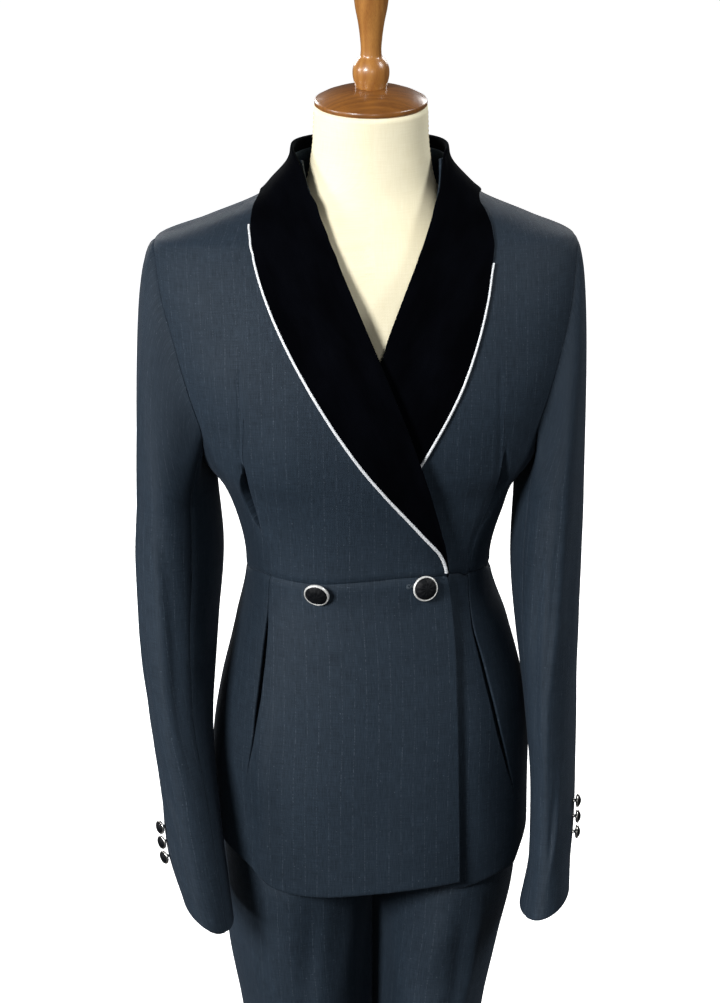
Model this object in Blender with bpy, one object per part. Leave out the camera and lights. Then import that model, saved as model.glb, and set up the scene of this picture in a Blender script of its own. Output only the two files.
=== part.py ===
"""Showmanship suit on a limbless dress form.

A fitted double-breasted jacket with a seamed-on peplum, long two-piece sleeves and a velvet
shawl collar edged in silver piping, worn over full-length trousers of the same cloth. The form
stands on a round wooden base; its pole goes down inside the wearer's left trouser leg.

Frame: metres, +Z up, floor at z = 0 under the form's axis. The front faces -Y and the wearer's
right side is -X. Every cloth piece is a closed wall: an outer grid of points worked out from the
section tables below, and the same grid moved in by the cloth's thickness.
"""
import math

import bmesh
import bpy
import numpy as np

# Driving sizes, in metres
CLOTH = 0.0015            # thickness of the suiting
VELVET = 0.0016           # thickness of the shawl collar, velvet on its under cloth
ROLL_INSET = 0.0012       # how far the front's free edge lies inside the collar's roll line
SEAM_GAP = 0.0003         # space left between pieces that are sewn together
COLLAR_LIFT = 0.0014      # space below the collar and the piping, which lie loose on the fronts
UNDERLAP_DEPTH = 0.0070   # how far the left front lies below the right front
UNDERLAP_RAMP = (0.004, 0.066)    # where that step starts and ends, beyond the right front's edge
UNDERLAP_TOP = (1.320, 1.372)     # heights between which the step fades above the crossing
SIDE_SEAM_TURN = 93.0     # degrees round from the front centre
NECK_TOP = 1.478          # top edge of the fronts and back, inside the collar
ARMHOLE_BOTTOM = 1.197
SHOULDER_TIP = 1.404
SIDE_BACK_TOP = 1.290     # where the back seam runs into the armhole
PIPING_RADIUS = 0.0015
BUTTON_RADIUS = 0.0118
SLEEVE_BUTTON_RADIUS = 0.0065
BASE_RADIUS = 0.240
BASE_HEIGHT = 0.028
POLE_RADIUS = 0.015
POLE_X = 0.064
FORM_BOTTOM = 0.868
NECK_PLANE = 1.5245       # top of the form's covered neck
CAP_TILT = 3.5            # degrees that the wooden cap leans forward
CROTCH = (0.785, 0.862)   # heights between which one oval becomes two legs
LEG_GAP = 0.0004          # from the middle plane to each leg's inner side


class Table:
    """Rows of measures against the first column, joined by smooth curves that don't overshoot."""

    def __init__(self, columns, rows):
        data = np.array(sorted(rows), dtype=float)
        self.key = data[:, 0]
        self.values = {name: data[:, i] for i, name in enumerate(columns)}
        self.slopes = {name: self.find_slopes(values) for name, values in self.values.items()}

    def find_slopes(self, values):
        step = np.diff(self.key)
        rise = np.diff(values) / step
        slopes = np.zeros(len(values))
        slopes[0], slopes[-1] = rise[0], rise[-1]
        for i in range(1, len(values) - 1):
            before, after = rise[i - 1], rise[i]
            if before * after > 0:
                mean = (before * step[i] + after * step[i - 1]) / (step[i] + step[i - 1])
                limit = 3 * min(abs(before), abs(after))
                slopes[i] = max(-limit, min(limit, mean))
        return slopes

    def at(self, name, where):
        where = np.clip(np.asarray(where, dtype=float), self.key[0], self.key[-1])
        i = np.clip(np.searchsorted(self.key, where, side="right") - 1, 0, len(self.key) - 2)
        step = self.key[i + 1] - self.key[i]
        p = (where - self.key[i]) / step
        values, slopes = self.values[name], self.slopes[name]
        return ((2 * p**3 - 3 * p**2 + 1) * values[i] + (p**3 - 2 * p**2 + p) * step * slopes[i]
                + (3 * p**2 - 2 * p**3) * values[i + 1] + (p**3 - p**2) * step * slopes[i + 1])


# The jacket's outer surface: ovals at each height. front and back are depths from the side line,
# power is the oval's squareness (2 is an ellipse). Above the shoulder tip the ovals shrink along
# the shoulder slope and up the collar stand.
BODY = Table(
    ("z", "centre", "half_width", "front", "back", "power"),
    [
        (0.740, 0.000, 0.1440, 0.116, 0.122, 2.35),
        (0.790, 0.000, 0.1475, 0.118, 0.125, 2.35),
        (0.850, 0.000, 0.1500, 0.120, 0.128, 2.35),
        (0.900, 0.000, 0.1500, 0.120, 0.127, 2.35),
        (0.970, 0.002, 0.1440, 0.117, 0.118, 2.35),
        (1.034, 0.001, 0.1280, 0.110, 0.098, 2.35),
        (1.092, -0.002, 0.1145, 0.103, 0.080, 2.35),
        (1.150, -0.002, 0.1255, 0.108, 0.083, 2.35),
        (1.176, -0.003, 0.1360, 0.113, 0.088, 2.35),
        (1.200, -0.003, 0.1540, 0.118, 0.092, 2.40),
        (1.236, -0.004, 0.1680, 0.122, 0.098, 2.40),
        (1.281, -0.004, 0.1840, 0.119, 0.103, 2.40),
        (1.320, -0.004, 0.1920, 0.110, 0.105, 2.40),
        (1.358, -0.005, 0.1960, 0.097, 0.101, 2.40),
        (1.385, -0.005, 0.1955, 0.083, 0.094, 2.30),
        (1.404, -0.005, 0.1910, 0.072, 0.084, 2.10),
        (1.420, -0.002, 0.1535, 0.064, 0.076, 2.00),
        (1.4415, 0.000, 0.1030, 0.054, 0.067, 2.00),
        (1.457, -0.001, 0.0860, 0.045, 0.062, 2.10),
        (1.470, -0.001, 0.0740, 0.038, 0.060, 2.10),
        (1.488, -0.001, 0.0650, 0.030, 0.0585, 2.10),
    ])

# Heights of the bodice's rows of points, the same on every panel so that seams match.
BODICE_HEIGHTS = np.array([
    1.090, 1.120, 1.150, 1.178, 1.1965, 1.206, 1.222, 1.240, 1.262, 1.286,
    1.318, 1.348, 1.374, 1.390, 1.399, 1.404, 1.420, 1.432, 1.442, 1.452,
    1.464, NECK_TOP])
DART_COLUMNS = (6, 4)     # columns from the front edge to the dart, and on to the side seam
SIDE_COLUMNS = 5
BACK_COLUMNS = 5
COLLAR_COLUMNS = 4
# Columns of the two sleeve pieces, in degrees round the sleeve, closer together at the tip.
UPPER_SLEEVE_COLUMNS = (-62, -42, -22, -9, 0, 9, 22, 44, 74, 106, 138)
UNDER_SLEEVE_COLUMNS = (138, 164, 190, 216, 242, 269, 298)

# Seams and edges of the jacket. Turns are degrees round from the front centre, negative towards
# the wearer's right.
WAIST = Table(
    ("turn", "z"),
    [
        (-180, 1.0900), (-120, 1.0880), (-90, 1.0890), (-66, 1.0985), (-52, 1.1000),
        (-28, 1.1000), (-1, 1.1045), (12, 1.1070), (28, 1.1050), (45, 1.1005),
        (59, 1.0975), (74, 1.0940), (90, 1.0865), (120, 1.0880), (180, 1.0900),
    ])
HEM = {
    "R": Table(
        ("turn", "z"),
        [
            (-180, 0.842), (-120, 0.841), (-90, 0.838), (-64, 0.828), (-49, 0.816),
            (-36, 0.800), (-20, 0.797), (12, 0.8045), (29, 0.8065), (45, 0.8065),
        ]),
    "L": Table(
        ("turn", "z"),
        [
            (-45, 0.808), (-20, 0.806), (8, 0.805), (22, 0.801), (32, 0.7965),
            (42, 0.7995), (52, 0.8035), (62, 0.8045), (69, 0.820), (79, 0.833),
            (90, 0.838), (120, 0.841), (180, 0.842),
        ]),
}
ARMHOLE = Table(
    ("z", "front_turn", "back_turn"),
    [
        (1.1970, 90.0, 93.5), (1.2080, 73.0, 107.0), (1.2250, 65.5, 114.0),
        (1.2500, 62.5, 118.0), (1.2720, 62.6, 119.5), (1.2920, 63.5, 119.5),
        (1.3190, 65.7, 117.5), (1.3430, 68.6, 114.5), (1.3650, 72.7, 110.5),
        (1.3810, 76.4, 106.0), (1.3960, 82.0, 99.5), (1.4040, 90.0, 91.0),
    ])
# Free edge of each front, from the hem up the roll line of the lapel to the neck.
FRONT_EDGE = {
    "R": Table(
        ("z", "x"),
        [
            (0.780, 0.0805), (0.984, 0.0755), (1.031, 0.0745), (1.081, 0.0700),
            (1.102, 0.0660), (1.121, 0.0642), (1.139, 0.0611), (1.161, 0.0555),
            (1.185, 0.0494), (1.218, 0.0393), (1.241, 0.0314), (1.264, 0.0229),
            (1.290, 0.0125), (1.317, 0.0011), (1.343, -0.0102), (1.369, -0.0215),
            (1.394, -0.0323), (1.406, -0.0372), (1.417, -0.0416), (1.426, -0.0451),
            (1.435, -0.0485), (1.448, -0.0532), (1.462, -0.0585), (1.488, -0.0645),
        ]),
    "L": Table(
        ("z", "x"),
        [
            (0.780, -0.0820), (0.984, -0.0775), (1.081, -0.0740), (1.102, -0.0710),
            (1.121, -0.0700), (1.139, -0.0660), (1.161, -0.0585), (1.185, -0.0500),
            (1.218, -0.0380), (1.264, -0.0185), (1.317, 0.0046), (1.345, 0.0144),
            (1.372, 0.0262), (1.396, 0.0373), (1.407, 0.0422), (1.417, 0.0461),
            (1.426, 0.0492), (1.435, 0.0521), (1.448, 0.0565), (1.460, 0.0595),
            (1.488, 0.0625),
        ]),
}
# Waist darts of the bodice fronts, and the seam and open pleat of the peplum fronts: x of the
# line that they follow, and the width that the pleat stands open.
DART_TIP = 1.262
DART = {
    "R": Table(
        ("z", "x"),
        [
            (1.085, -0.0962), (1.119, -0.0968), (1.134, -0.0995), (1.147, -0.1045),
            (1.164, -0.1084), (1.182, -0.1129), (1.204, -0.1175), (1.224, -0.1205),
            (1.262, -0.1195), (1.300, -0.1190),
        ]),
    "L": Table(
        ("z", "x"),
        [
            (1.085, 0.0912), (1.119, 0.0930), (1.147, 0.0995), (1.164, 0.1040),
            (1.182, 0.1085), (1.204, 0.1135), (1.224, 0.1165), (1.262, 0.1160),
            (1.300, 0.1155),
        ]),
}
PLEAT_TIP = {"R": 0.905, "L": 0.882}
PLEAT = {
    "R": Table(
        ("z", "x", "open"),
        [
            (0.780, -0.1215, 0.0003), (0.905, -0.1190, 0.0003), (0.944, -0.1134, 0.0018),
            (0.984, -0.1080, 0.0036), (1.015, -0.1040, 0.0036), (1.046, -0.1006, 0.0026),
            (1.072, -0.0982, 0.0003), (1.102, -0.0962, 0.0003),
        ]),
    "L": Table(
        ("z", "x", "open"),
        [
            (0.780, 0.1320, 0.0003), (0.882, 0.1325, 0.0003), (0.918, 0.1255, 0.0022),
            (0.958, 0.1155, 0.0038), (0.992, 0.1082, 0.0038), (1.027, 0.1006, 0.0028),
            (1.052, 0.0945, 0.0014), (1.072, 0.0924, 0.0003), (1.102, 0.0912, 0.0003),
        ]),
}
BACK_SEAM = Table(
    ("z", "turn"),
    [
        (0.780, 141.0), (0.900, 141.0), (1.034, 139.0), (1.092, 136.0), (1.176, 134.0),
        (1.236, 131.0), (1.275, 125.0), (1.292, 122.0),
    ])
# The shawl collar's inner (roll) and outer (piped) edges, station by station from its point at
# the waist, up the front, over the shoulder and round to the centre back.
SHAWL = {
    "R": Table(
        ("station", "inner_turn", "inner_z", "outer_turn", "outer_z"),
        [
            (0, 32.60, 1.1040, 32.20, 1.1040), (0.5, 31.80, 1.1125, 30.90, 1.1122),
            (1, 30.61, 1.1210, 29.48, 1.1208), (1.5, 29.11, 1.1297, 25.73, 1.1299),
            (2, 27.39, 1.1391, 21.86, 1.1392), (2.5, 24.93, 1.1498, 17.53, 1.1495),
            (3, 22.88, 1.1611, 13.53, 1.1598), (3.5, 20.85, 1.1723, 10.47, 1.1684),
            (4, 17.82, 1.1850, 7.00, 1.1783), (4.5, 14.26, 1.2002, 2.68, 1.1922),
            (5, 11.69, 1.2180, -0.33, 1.2092), (5.5, 8.92, 1.2397, -3.68, 1.2300),
            (6, 5.91, 1.2640, -7.61, 1.2530), (6.5, 2.94, 1.2918, -11.62, 1.2784),
            (7, 0.74, 1.3170, -15.23, 1.3019), (7.5, -0.10, 1.3317, -17.48, 1.3170),
            (8, -0.79, 1.3430, -19.24, 1.3298), (8.5, -1.78, 1.3561, -21.15, 1.3453),
            (9, -3.01, 1.3690, -23.10, 1.3606), (9.5, -4.54, 1.3817, -25.15, 1.3743),
            (10, -6.56, 1.3940, -27.28, 1.3865), (10.5, -9.11, 1.4059, -29.46, 1.3964),
            (11, -13.89, 1.4169, -31.75, 1.4048), (11.5, -18.26, 1.4256, -36.32, 1.4118),
            (12, -24.53, 1.4349, -42.60, 1.4180), (12.5, -33.79, 1.4484, -49.59, 1.4246),
            (13, -44.55, 1.4623, -58.00, 1.4310), (14, -76.00, 1.4830, -80.00, 1.4425),
            (15, -102.00, 1.4865, -101.00, 1.4440), (16, -130.00, 1.4870, -128.00, 1.4410),
            (17, -156.00, 1.4875, -155.00, 1.4385), (18, -179.80, 1.4880, -179.80, 1.4375),
        ]),
    "L": Table(
        ("station", "inner_turn", "inner_z", "outer_turn", "outer_z"),
        [
            (0, -33.00, 1.1040, -32.60, 1.1040), (1, -31.20, 1.1210, -29.20, 1.1205),
            (2, -28.00, 1.1390, -21.80, 1.1380), (3, -23.00, 1.1610, -11.50, 1.1585),
            (4, -16.90, 1.1850, -1.00, 1.1800), (5, -9.60, 1.2180, 8.60, 1.2060),
            (5.5, -6.34, 1.2398, 13.15, 1.2264), (6, -3.40, 1.2640, 16.54, 1.2499),
            (6.5, -0.75, 1.2916, 19.45, 1.2762), (7, 1.40, 1.3170, 22.13, 1.3006),
            (7.5, 2.43, 1.3326, 23.78, 1.3168), (8, 3.54, 1.3450, 25.04, 1.3305),
            (8.5, 4.91, 1.3587, 26.42, 1.3457), (9, 6.49, 1.3720, 27.69, 1.3604),
            (9.5, 8.43, 1.3844, 29.05, 1.3740), (10, 10.90, 1.3960, 30.66, 1.3862),
            (10.5, 13.69, 1.4067, 32.88, 1.3963), (11, 17.37, 1.4167, 35.60, 1.4050),
            (11.5, 21.05, 1.4255, 38.45, 1.4123), (12, 26.69, 1.4348, 42.50, 1.4190),
            (12.5, 35.77, 1.4470, 48.87, 1.4262), (13, 45.88, 1.4600, 57.00, 1.4330),
            (14, 72.00, 1.4830, 78.00, 1.4440), (15, 102.00, 1.4865, 101.00, 1.4440),
            (16, 130.00, 1.4870, 128.00, 1.4410), (17, 156.00, 1.4875, 155.00, 1.4385),
            (18, 179.80, 1.4880, 179.80, 1.4375),
        ]),
}
COLLAR_STATIONS = np.concatenate([np.arange(0, 4), np.arange(4, 18.1, 0.5)])
PIPING_ENDS = {"R": (0.5, 12.4), "L": (0.5, 10.3)}   # along the collar, by station

# Sleeves below the armhole: level ovals whose front ends turn in towards the body by turn
# degrees, with the hem slanted by rise for each metre outwards.
SLEEVE_COLUMNS = ("z", "centre_x", "centre_y", "half_x", "half_y", "turn", "rise")
SLEEVE = {
    "R": Table(
        SLEEVE_COLUMNS,
        [
            (0.782, -0.1570, -0.093, 0.0240, 0.0569, 0.0, 0.55),
            (0.834, -0.1680, -0.078, 0.0264, 0.0601, -1.0, 0.20),
            (0.900, -0.1737, -0.063, 0.0260, 0.0635, -4.0, 0.00),
            (0.973, -0.1785, -0.047, 0.0266, 0.0682, -12.0, 0.00),
            (1.040, -0.1785, -0.032, 0.0305, 0.0728, -16.0, 0.00),
            (1.111, -0.1770, -0.016, 0.0350, 0.0761, -17.0, 0.00),
            (1.165, -0.1785, -0.006, 0.0329, 0.0774, -14.0, 0.00),
        ]),
    "L": Table(
        SLEEVE_COLUMNS,
        [
            (0.786, 0.1595, -0.093, 0.0235, 0.0570, 8.0, 0.28),
            (0.830, 0.1657, -0.080, 0.0198, 0.0600, 10.0, 0.10),
            (0.900, 0.1686, -0.066, 0.0204, 0.0630, 12.0, 0.00),
            (0.966, 0.1672, -0.052, 0.0233, 0.0660, 11.0, 0.00),
            (1.040, 0.1635, -0.036, 0.0295, 0.0695, 6.0, 0.00),
            (1.105, 0.1625, -0.020, 0.0328, 0.0725, 2.0, 0.00),
            (1.165, 0.1650, -0.008, 0.0315, 0.0750, 0.0, 0.00),
        ]),
}
SLEEVE_FULLNESS = {"R": 0.072, "L": 0.046}   # how strongly the sleeve head swells outwards
SLEEVE_TOP = 1.165              # height where the sleeve head ends
# Cuff buttons: degrees round the sleeve, degrees that they hang over towards the front, and
# their heights above the sleeve's hem.
CUFF_BUTTONS = {
    "R": (25.0, 25.0, (0.052, 0.067, 0.082)),
    "L": (8.0, 0.0, (0.062, 0.077, 0.092)),
}
SHANK = (0.0016, 0.0032)        # radius and length of a cuff button's shank

# Trousers: half widths to the wearer's right and left, and depths, at each height.
TROUSERS = Table(
    ("z", "right", "left", "front", "back"),
    [
        (0.090, 0.1090, 0.1010, 0.0890, 0.0920), (0.250, 0.1080, 0.1000, 0.0890, 0.0910),
        (0.400, 0.1090, 0.1010, 0.0900, 0.0920), (0.520, 0.1130, 0.1050, 0.0930, 0.0950),
        (0.637, 0.1240, 0.1090, 0.0960, 0.1010), (0.714, 0.1370, 0.1240, 0.0960, 0.1060),
        (0.772, 0.1405, 0.1370, 0.0955, 0.1110), (0.800, 0.1410, 0.1400, 0.0955, 0.1140),
        (0.850, 0.1415, 0.1410, 0.1010, 0.1170), (0.900, 0.1400, 0.1405, 0.1065, 0.1165),
        (0.970, 0.1310, 0.1330, 0.1035, 0.1060), (1.034, 0.1150, 0.1165, 0.0960, 0.0870),
        (1.085, 0.1060, 0.1030, 0.0905, 0.0710), (1.122, 0.1060, 0.1030, 0.0910, 0.0700),
    ])
TROUSER_HEM = 0.090
WAISTBAND = (1.086, 1.120)

# The form's torso, and turned profiles of its wooden parts as (radius, height) pairs.
TORSO = Table(
    ("z", "half_width", "front", "back", "power"),
    [
        (0.868, 0.112, 0.082, 0.090, 2.2), (0.880, 0.122, 0.092, 0.100, 2.2),
        (0.930, 0.126, 0.096, 0.104, 2.2), (1.034, 0.105, 0.086, 0.077, 2.2),
        (1.095, 0.096, 0.081, 0.060, 2.2), (1.150, 0.106, 0.088, 0.066, 2.2),
        (1.200, 0.128, 0.101, 0.076, 2.2), (1.240, 0.137, 0.107, 0.083, 2.2),
        (1.300, 0.148, 0.101, 0.091, 2.2), (1.350, 0.158, 0.088, 0.090, 2.2),
        (1.385, 0.150, 0.076, 0.080, 2.2), (1.410, 0.110, 0.065, 0.069, 2.1),
        (1.430, 0.076, 0.057, 0.057, 2.0), (1.450, 0.061, 0.050, 0.052, 2.0),
        (1.480, 0.054, 0.0485, 0.051, 2.0), (1.5245, 0.0515, 0.0510, 0.0520, 2.0),
    ])
CAP_PROFILE = [
    (0.0000, 0.0000), (0.0500, 0.0000), (0.0512, 0.0010), (0.0512, 0.0040), (0.0500, 0.0055),
    (0.0430, 0.0092), (0.0340, 0.0125), (0.0240, 0.0150), (0.0150, 0.0165), (0.0000, 0.0165),
]
FINIAL_PROFILE = [
    (0.0000, 0.0000), (0.0142, 0.0000), (0.0146, 0.0020), (0.0155, 0.0050), (0.0167, 0.0120),
    (0.0160, 0.0190), (0.0128, 0.0250), (0.0098, 0.0285), (0.0094, 0.0320), (0.0100, 0.0440),
    (0.0118, 0.0580), (0.0148, 0.0740), (0.0160, 0.0860), (0.0155, 0.0980), (0.0128, 0.1090),
    (0.0080, 0.1165), (0.0000, 0.1190),
]

# Soft folds: a line on the cloth from (across, along) to (across, along), the fold's half width
# and how far it stands out (in when negative).
FOLD_COLUMNS = ("across_0", "along_0", "across_1", "along_1", "half_width", "depth")
FRONT_FOLDS = [
    (-0.131, 1.214, -0.1095, 1.150, 0.0050, -0.0070),
    (0.134, 1.224, 0.1090, 1.146, 0.0075, -0.0060),
    (-0.101, 0.985, -0.1030, 0.800, 0.0110, 0.0040),
    (-0.116, 0.900, -0.1200, 0.800, 0.0120, -0.0030),
    (0.097, 0.990, 0.1040, 0.815, 0.0140, 0.0025),
]
BACK_FOLDS = [
    (-0.090, 1.060, -0.1080, 0.850, 0.0160, 0.0045),
    (0.092, 1.055, 0.1120, 0.850, 0.0150, 0.0040),
    (-0.045, 1.050, -0.0600, 0.850, 0.0170, -0.0035),
    (0.048, 1.045, 0.0600, 0.850, 0.0180, -0.0040),
]
SLEEVE_FOLDS = [
    (0.035, 1.020, 0.0150, 0.800, 0.0060, 0.0025),
    (0.052, 1.030, 0.0380, 0.840, 0.0080, -0.0030),
    (0.085, 1.060, 0.1050, 1.000, 0.0100, -0.0030),
    (-0.060, 1.050, -0.0400, 0.960, 0.0120, -0.0030),
]
TROUSER_FOLDS = [
    (0.020, 0.800, 0.0280, 0.560, 0.0080, 0.0030),
    (0.046, 0.790, 0.0520, 0.600, 0.0090, -0.0035),
    (-0.060, 0.700, -0.0450, 0.450, 0.0120, -0.0030),
    (0.150, 0.720, 0.1400, 0.400, 0.0120, -0.0030),
]

COLOURS = {
    "suiting": ((0.012, 0.014, 0.020, 1.0), 0.72, 0.0),
    "velvet": ((0.003, 0.003, 0.006, 1.0), 0.90, 0.0),
    "piping": ((0.62, 0.64, 0.66, 1.0), 0.40, 0.0),
    "button_cap": ((0.010, 0.010, 0.012, 1.0), 0.45, 0.0),
    "silver": ((0.72, 0.70, 0.66, 1.0), 0.25, 1.0),
    "cover": ((0.86, 0.80, 0.64, 1.0), 0.85, 0.0),
    "wood": ((0.33, 0.13, 0.04, 1.0), 0.35, 0.0),
}


def make_material(finish):
    material = bpy.data.materials.new(finish)
    material.use_nodes = True
    shader = material.node_tree.nodes["Principled BSDF"]
    colour, roughness, metallic = COLOURS[finish]
    shader.inputs["Base Color"].default_value = colour
    shader.inputs["Roughness"].default_value = roughness
    shader.inputs["Metallic"].default_value = metallic
    return material


def add_object(name, vertices, faces, finish, smooth=True):
    """One named object with its own material, outward faces and no stray vertices."""
    mesh = bpy.data.meshes.new(name)
    mesh.from_pydata([tuple(v) for v in vertices], [], [tuple(f) for f in faces])
    work = bmesh.new()
    work.from_mesh(mesh)
    loose = [v for v in work.verts if not v.link_faces]
    bmesh.ops.delete(work, geom=loose, context="VERTS")
    bmesh.ops.recalc_face_normals(work, faces=work.faces)
    if work.calc_volume(signed=True) < 0:
        bmesh.ops.reverse_faces(work, faces=work.faces)
    work.to_mesh(mesh)
    work.free()
    mesh.materials.append(make_material(finish))
    if smooth:
        mesh.shade_smooth()
        mesh.set_sharp_from_angle(angle=math.radians(40))
    obj = bpy.data.objects.new(name, mesh)
    bpy.context.scene.collection.objects.link(obj)
    return obj


def sheet_faces(rows, columns, slit=None, wrap=False):
    """Vertex numbers of a grid's faces. slit is (column, number of rows from the start that are
    cut): its two lips are columns side by side, which share their vertices where uncut."""
    index = np.arange(rows * columns).reshape(rows, columns)
    skipped = None
    if slit is not None:
        skipped, cut, at_start = slit
        whole = slice(cut, rows) if at_start else slice(0, rows - cut)
        index[whole, skipped + 1] = index[whole, skipped]
    faces = []
    last = columns if wrap else columns - 1
    for r in range(rows - 1):
        for c in range(last):
            if c == skipped:
                continue
            d = (c + 1) % columns
            faces.append((index[r, c], index[r, d], index[r + 1, d], index[r + 1, c]))
    return faces


def wall(name, outer, inner, finish, slit=None, wrap=False):
    """Closed wall between two grids of points, with rims along every free edge."""
    rows, columns, _ = outer.shape
    count = rows * columns
    front = sheet_faces(rows, columns, slit, wrap)
    uses = {}
    for face in front:
        for a, b in zip(face, face[1:] + face[:1]):
            uses.setdefault(frozenset((a, b)), []).append((a, b))
    faces = list(front)
    faces += [tuple(v + count for v in reversed(face)) for face in front]
    for pairs in uses.values():
        if len(pairs) == 1:
            a, b = pairs[0]
            faces.append((b, a, a + count, b + count))
    points = np.concatenate([outer.reshape(-1, 3), inner.reshape(-1, 3)])
    return add_object(name, points, faces, finish)


def fold_lift(across, along, folds):
    """How far the soft folds raise the cloth at each point."""
    lift = np.zeros(np.broadcast(across, along).shape)
    for row in folds:
        fold = dict(zip(FOLD_COLUMNS, row))
        run = np.array([fold["across_1"] - fold["across_0"], fold["along_1"] - fold["along_0"]])
        length = np.hypot(*run)
        run /= length
        da, dl = across - fold["across_0"], along - fold["along_0"]
        share = (da * run[0] + dl * run[1]) / length
        aside = (da * run[1] - dl * run[0]) / fold["half_width"]
        ends = np.where((share > 0) & (share < 1), np.sin(np.pi * np.clip(share, 0, 1)) ** 0.8, 0)
        lift += fold["depth"] * ends * np.exp(-aside**2)
    return lift


def smooth_step(value, start, end):
    share = np.clip((value - start) / (end - start), 0, 1)
    return share * share * (3 - 2 * share)


def oval(turn, half_width, front, back, power):
    """Point on an oval: turn in degrees from the front, positive towards +X."""
    angle = np.radians(turn)
    side, ahead = np.sin(angle), np.cos(angle)
    x = half_width * np.sign(side) * np.abs(side) ** (2 / power)
    y = np.where(ahead > 0, -front, back) * np.abs(ahead) ** (2 / power)
    return x, y


def body(turn, z):
    """The jacket's outer surface, with its folds, before any layer is lifted off it."""
    x, y = oval(turn, BODY.at("half_width", z), BODY.at("front", z), BODY.at("back", z),
                BODY.at("power", z))
    ahead = np.abs(turn) < 90
    lift = np.where(ahead, fold_lift(x, z, FRONT_FOLDS), fold_lift(x, z, BACK_FOLDS))
    reach = 1 + lift / np.maximum(np.hypot(x, y), 0.02)
    return np.stack(np.broadcast_arrays(x * reach + BODY.at("centre", z), y * reach, z), axis=-1)


def body_turn(x, z):
    """The turn at which the front of the oval at height z has this x."""
    share = (x - BODY.at("centre", z)) / BODY.at("half_width", z)
    bent = np.sign(share) * np.abs(share) ** (BODY.at("power", z) / 2)
    return np.degrees(np.arcsin(np.clip(bent, -1, 1)))


def normals(surface, u, v, du, dv):
    """Unit normals of a surface given as a function of two measures."""
    along_u = surface(u + du, v) - surface(u - du, v)
    along_v = surface(u, v + dv) - surface(u, v - dv)
    normal = np.cross(along_u, along_v)
    return normal / np.linalg.norm(normal, axis=-1, keepdims=True)


def underlap(side, turn, z):
    """Depth of the left front below the right front where the two overlap."""
    if side != "L":
        return np.zeros(np.broadcast(turn, z).shape)
    x = body(turn, z)[..., 0]
    beyond = x - FRONT_EDGE["R"].at("x", z)
    across = 1 - smooth_step(beyond, *UNDERLAP_RAMP)
    upward = 1 - smooth_step(z, *UNDERLAP_TOP)
    ahead = (np.abs(turn) < 90) * 1.0
    return UNDERLAP_DEPTH * across * upward * ahead


def jacket(side, turn, z, lift=0.0):
    """Point on a jacket layer: lift is the height above this side's cloth."""
    turn, z = np.broadcast_arrays(np.asarray(turn, dtype=float), np.asarray(z, dtype=float))
    out = normals(body, turn, z, 0.5, 0.001)
    height = lift - underlap(side, turn, z)
    return body(turn, z) + out * np.asarray(height)[..., None]


def spread(start, end, count):
    """Evenly spaced columns between two edges given row by row."""
    share = np.linspace(0, 1, count)
    return start[:, None] * (1 - share) + end[:, None] * share


def gap_turn(z):
    """Half a seam gap as a turn, near the side of the body."""
    return np.degrees(SEAM_GAP / 2 / BODY.at("half_width", z)) * 1.2


def jacket_wall(name, side, turn, z, finish="suiting", slit=None):
    outer = jacket(side, turn, z)
    inner = jacket(side, turn, z, -CLOTH)
    return wall(name, outer, inner, finish, slit)


def sign_of(side):
    return -1.0 if side == "R" else 1.0


def settled(turn, heights):
    """Heights of a bodice grid, with its lowest row brought onto the waist seam."""
    rows = heights[:, None]
    settle = 1 - smooth_step(rows, BODICE_HEIGHTS[0], 1.150)
    return rows + (WAIST.at("z", turn) + SEAM_GAP / 2 - BODICE_HEIGHTS[0]) * settle


def bodice_front(side):
    """From the roll line to the side seam, armhole and shoulder seam, with its waist dart."""
    sign = sign_of(side)
    heights = BODICE_HEIGHTS
    tip = DART_TIP
    edge = body_turn(FRONT_EDGE[side].at("x", heights) + sign * ROLL_INSET, heights)
    rim = np.where(heights < ARMHOLE_BOTTOM, SIDE_SEAM_TURN, ARMHOLE.at("front_turn", heights))
    rim = np.where(heights > SHOULDER_TIP - 1e-6, 90.0, rim)
    rim = sign * (rim - gap_turn(heights))
    dart = body_turn(DART[side].at("x", heights), heights)
    fade = smooth_step(heights, tip, tip + 0.08)
    dart = dart * (1 - fade) + (edge * 0.42 + rim * 0.58) * fade
    cut = heights < tip - 1e-6
    lip = gap_turn(heights) * cut
    inner_part = spread(edge, dart - sign * lip, DART_COLUMNS[0])
    outer_part = spread(dart + sign * lip, rim, DART_COLUMNS[1])
    turn = np.concatenate([inner_part, outer_part], axis=1)
    slit = (DART_COLUMNS[0] - 1, int(np.sum(cut)), True)
    jacket_wall(f"bodice_front_{side}", side, turn, settled(turn, heights), slit=slit)


def bodice_side(side):
    """Side back: from the side seam and armhole to the back seam."""
    heights = BODICE_HEIGHTS[BODICE_HEIGHTS < SIDE_BACK_TOP]
    near = np.where(heights < ARMHOLE_BOTTOM, SIDE_SEAM_TURN, ARMHOLE.at("back_turn", heights))
    near = near + gap_turn(heights)
    far = BACK_SEAM.at("turn", heights) - gap_turn(heights)
    turn = sign_of(side) * spread(near, far, SIDE_COLUMNS)
    jacket_wall(f"bodice_side_{side}", side, turn, settled(turn, heights))


def bodice_back(side):
    """From the back seam, armhole and shoulder seam to the centre back seam."""
    heights = BODICE_HEIGHTS
    near = np.where(heights < SIDE_BACK_TOP, BACK_SEAM.at("turn", heights),
                    ARMHOLE.at("back_turn", heights))
    near = np.where(heights > SHOULDER_TIP - 1e-6, 90.0, near) + gap_turn(heights)
    far = np.full(len(heights), 180.0) - gap_turn(heights)
    turn = sign_of(side) * spread(near, far, BACK_COLUMNS)
    jacket_wall(f"bodice_back_{side}", side, turn, settled(turn, heights))


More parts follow.
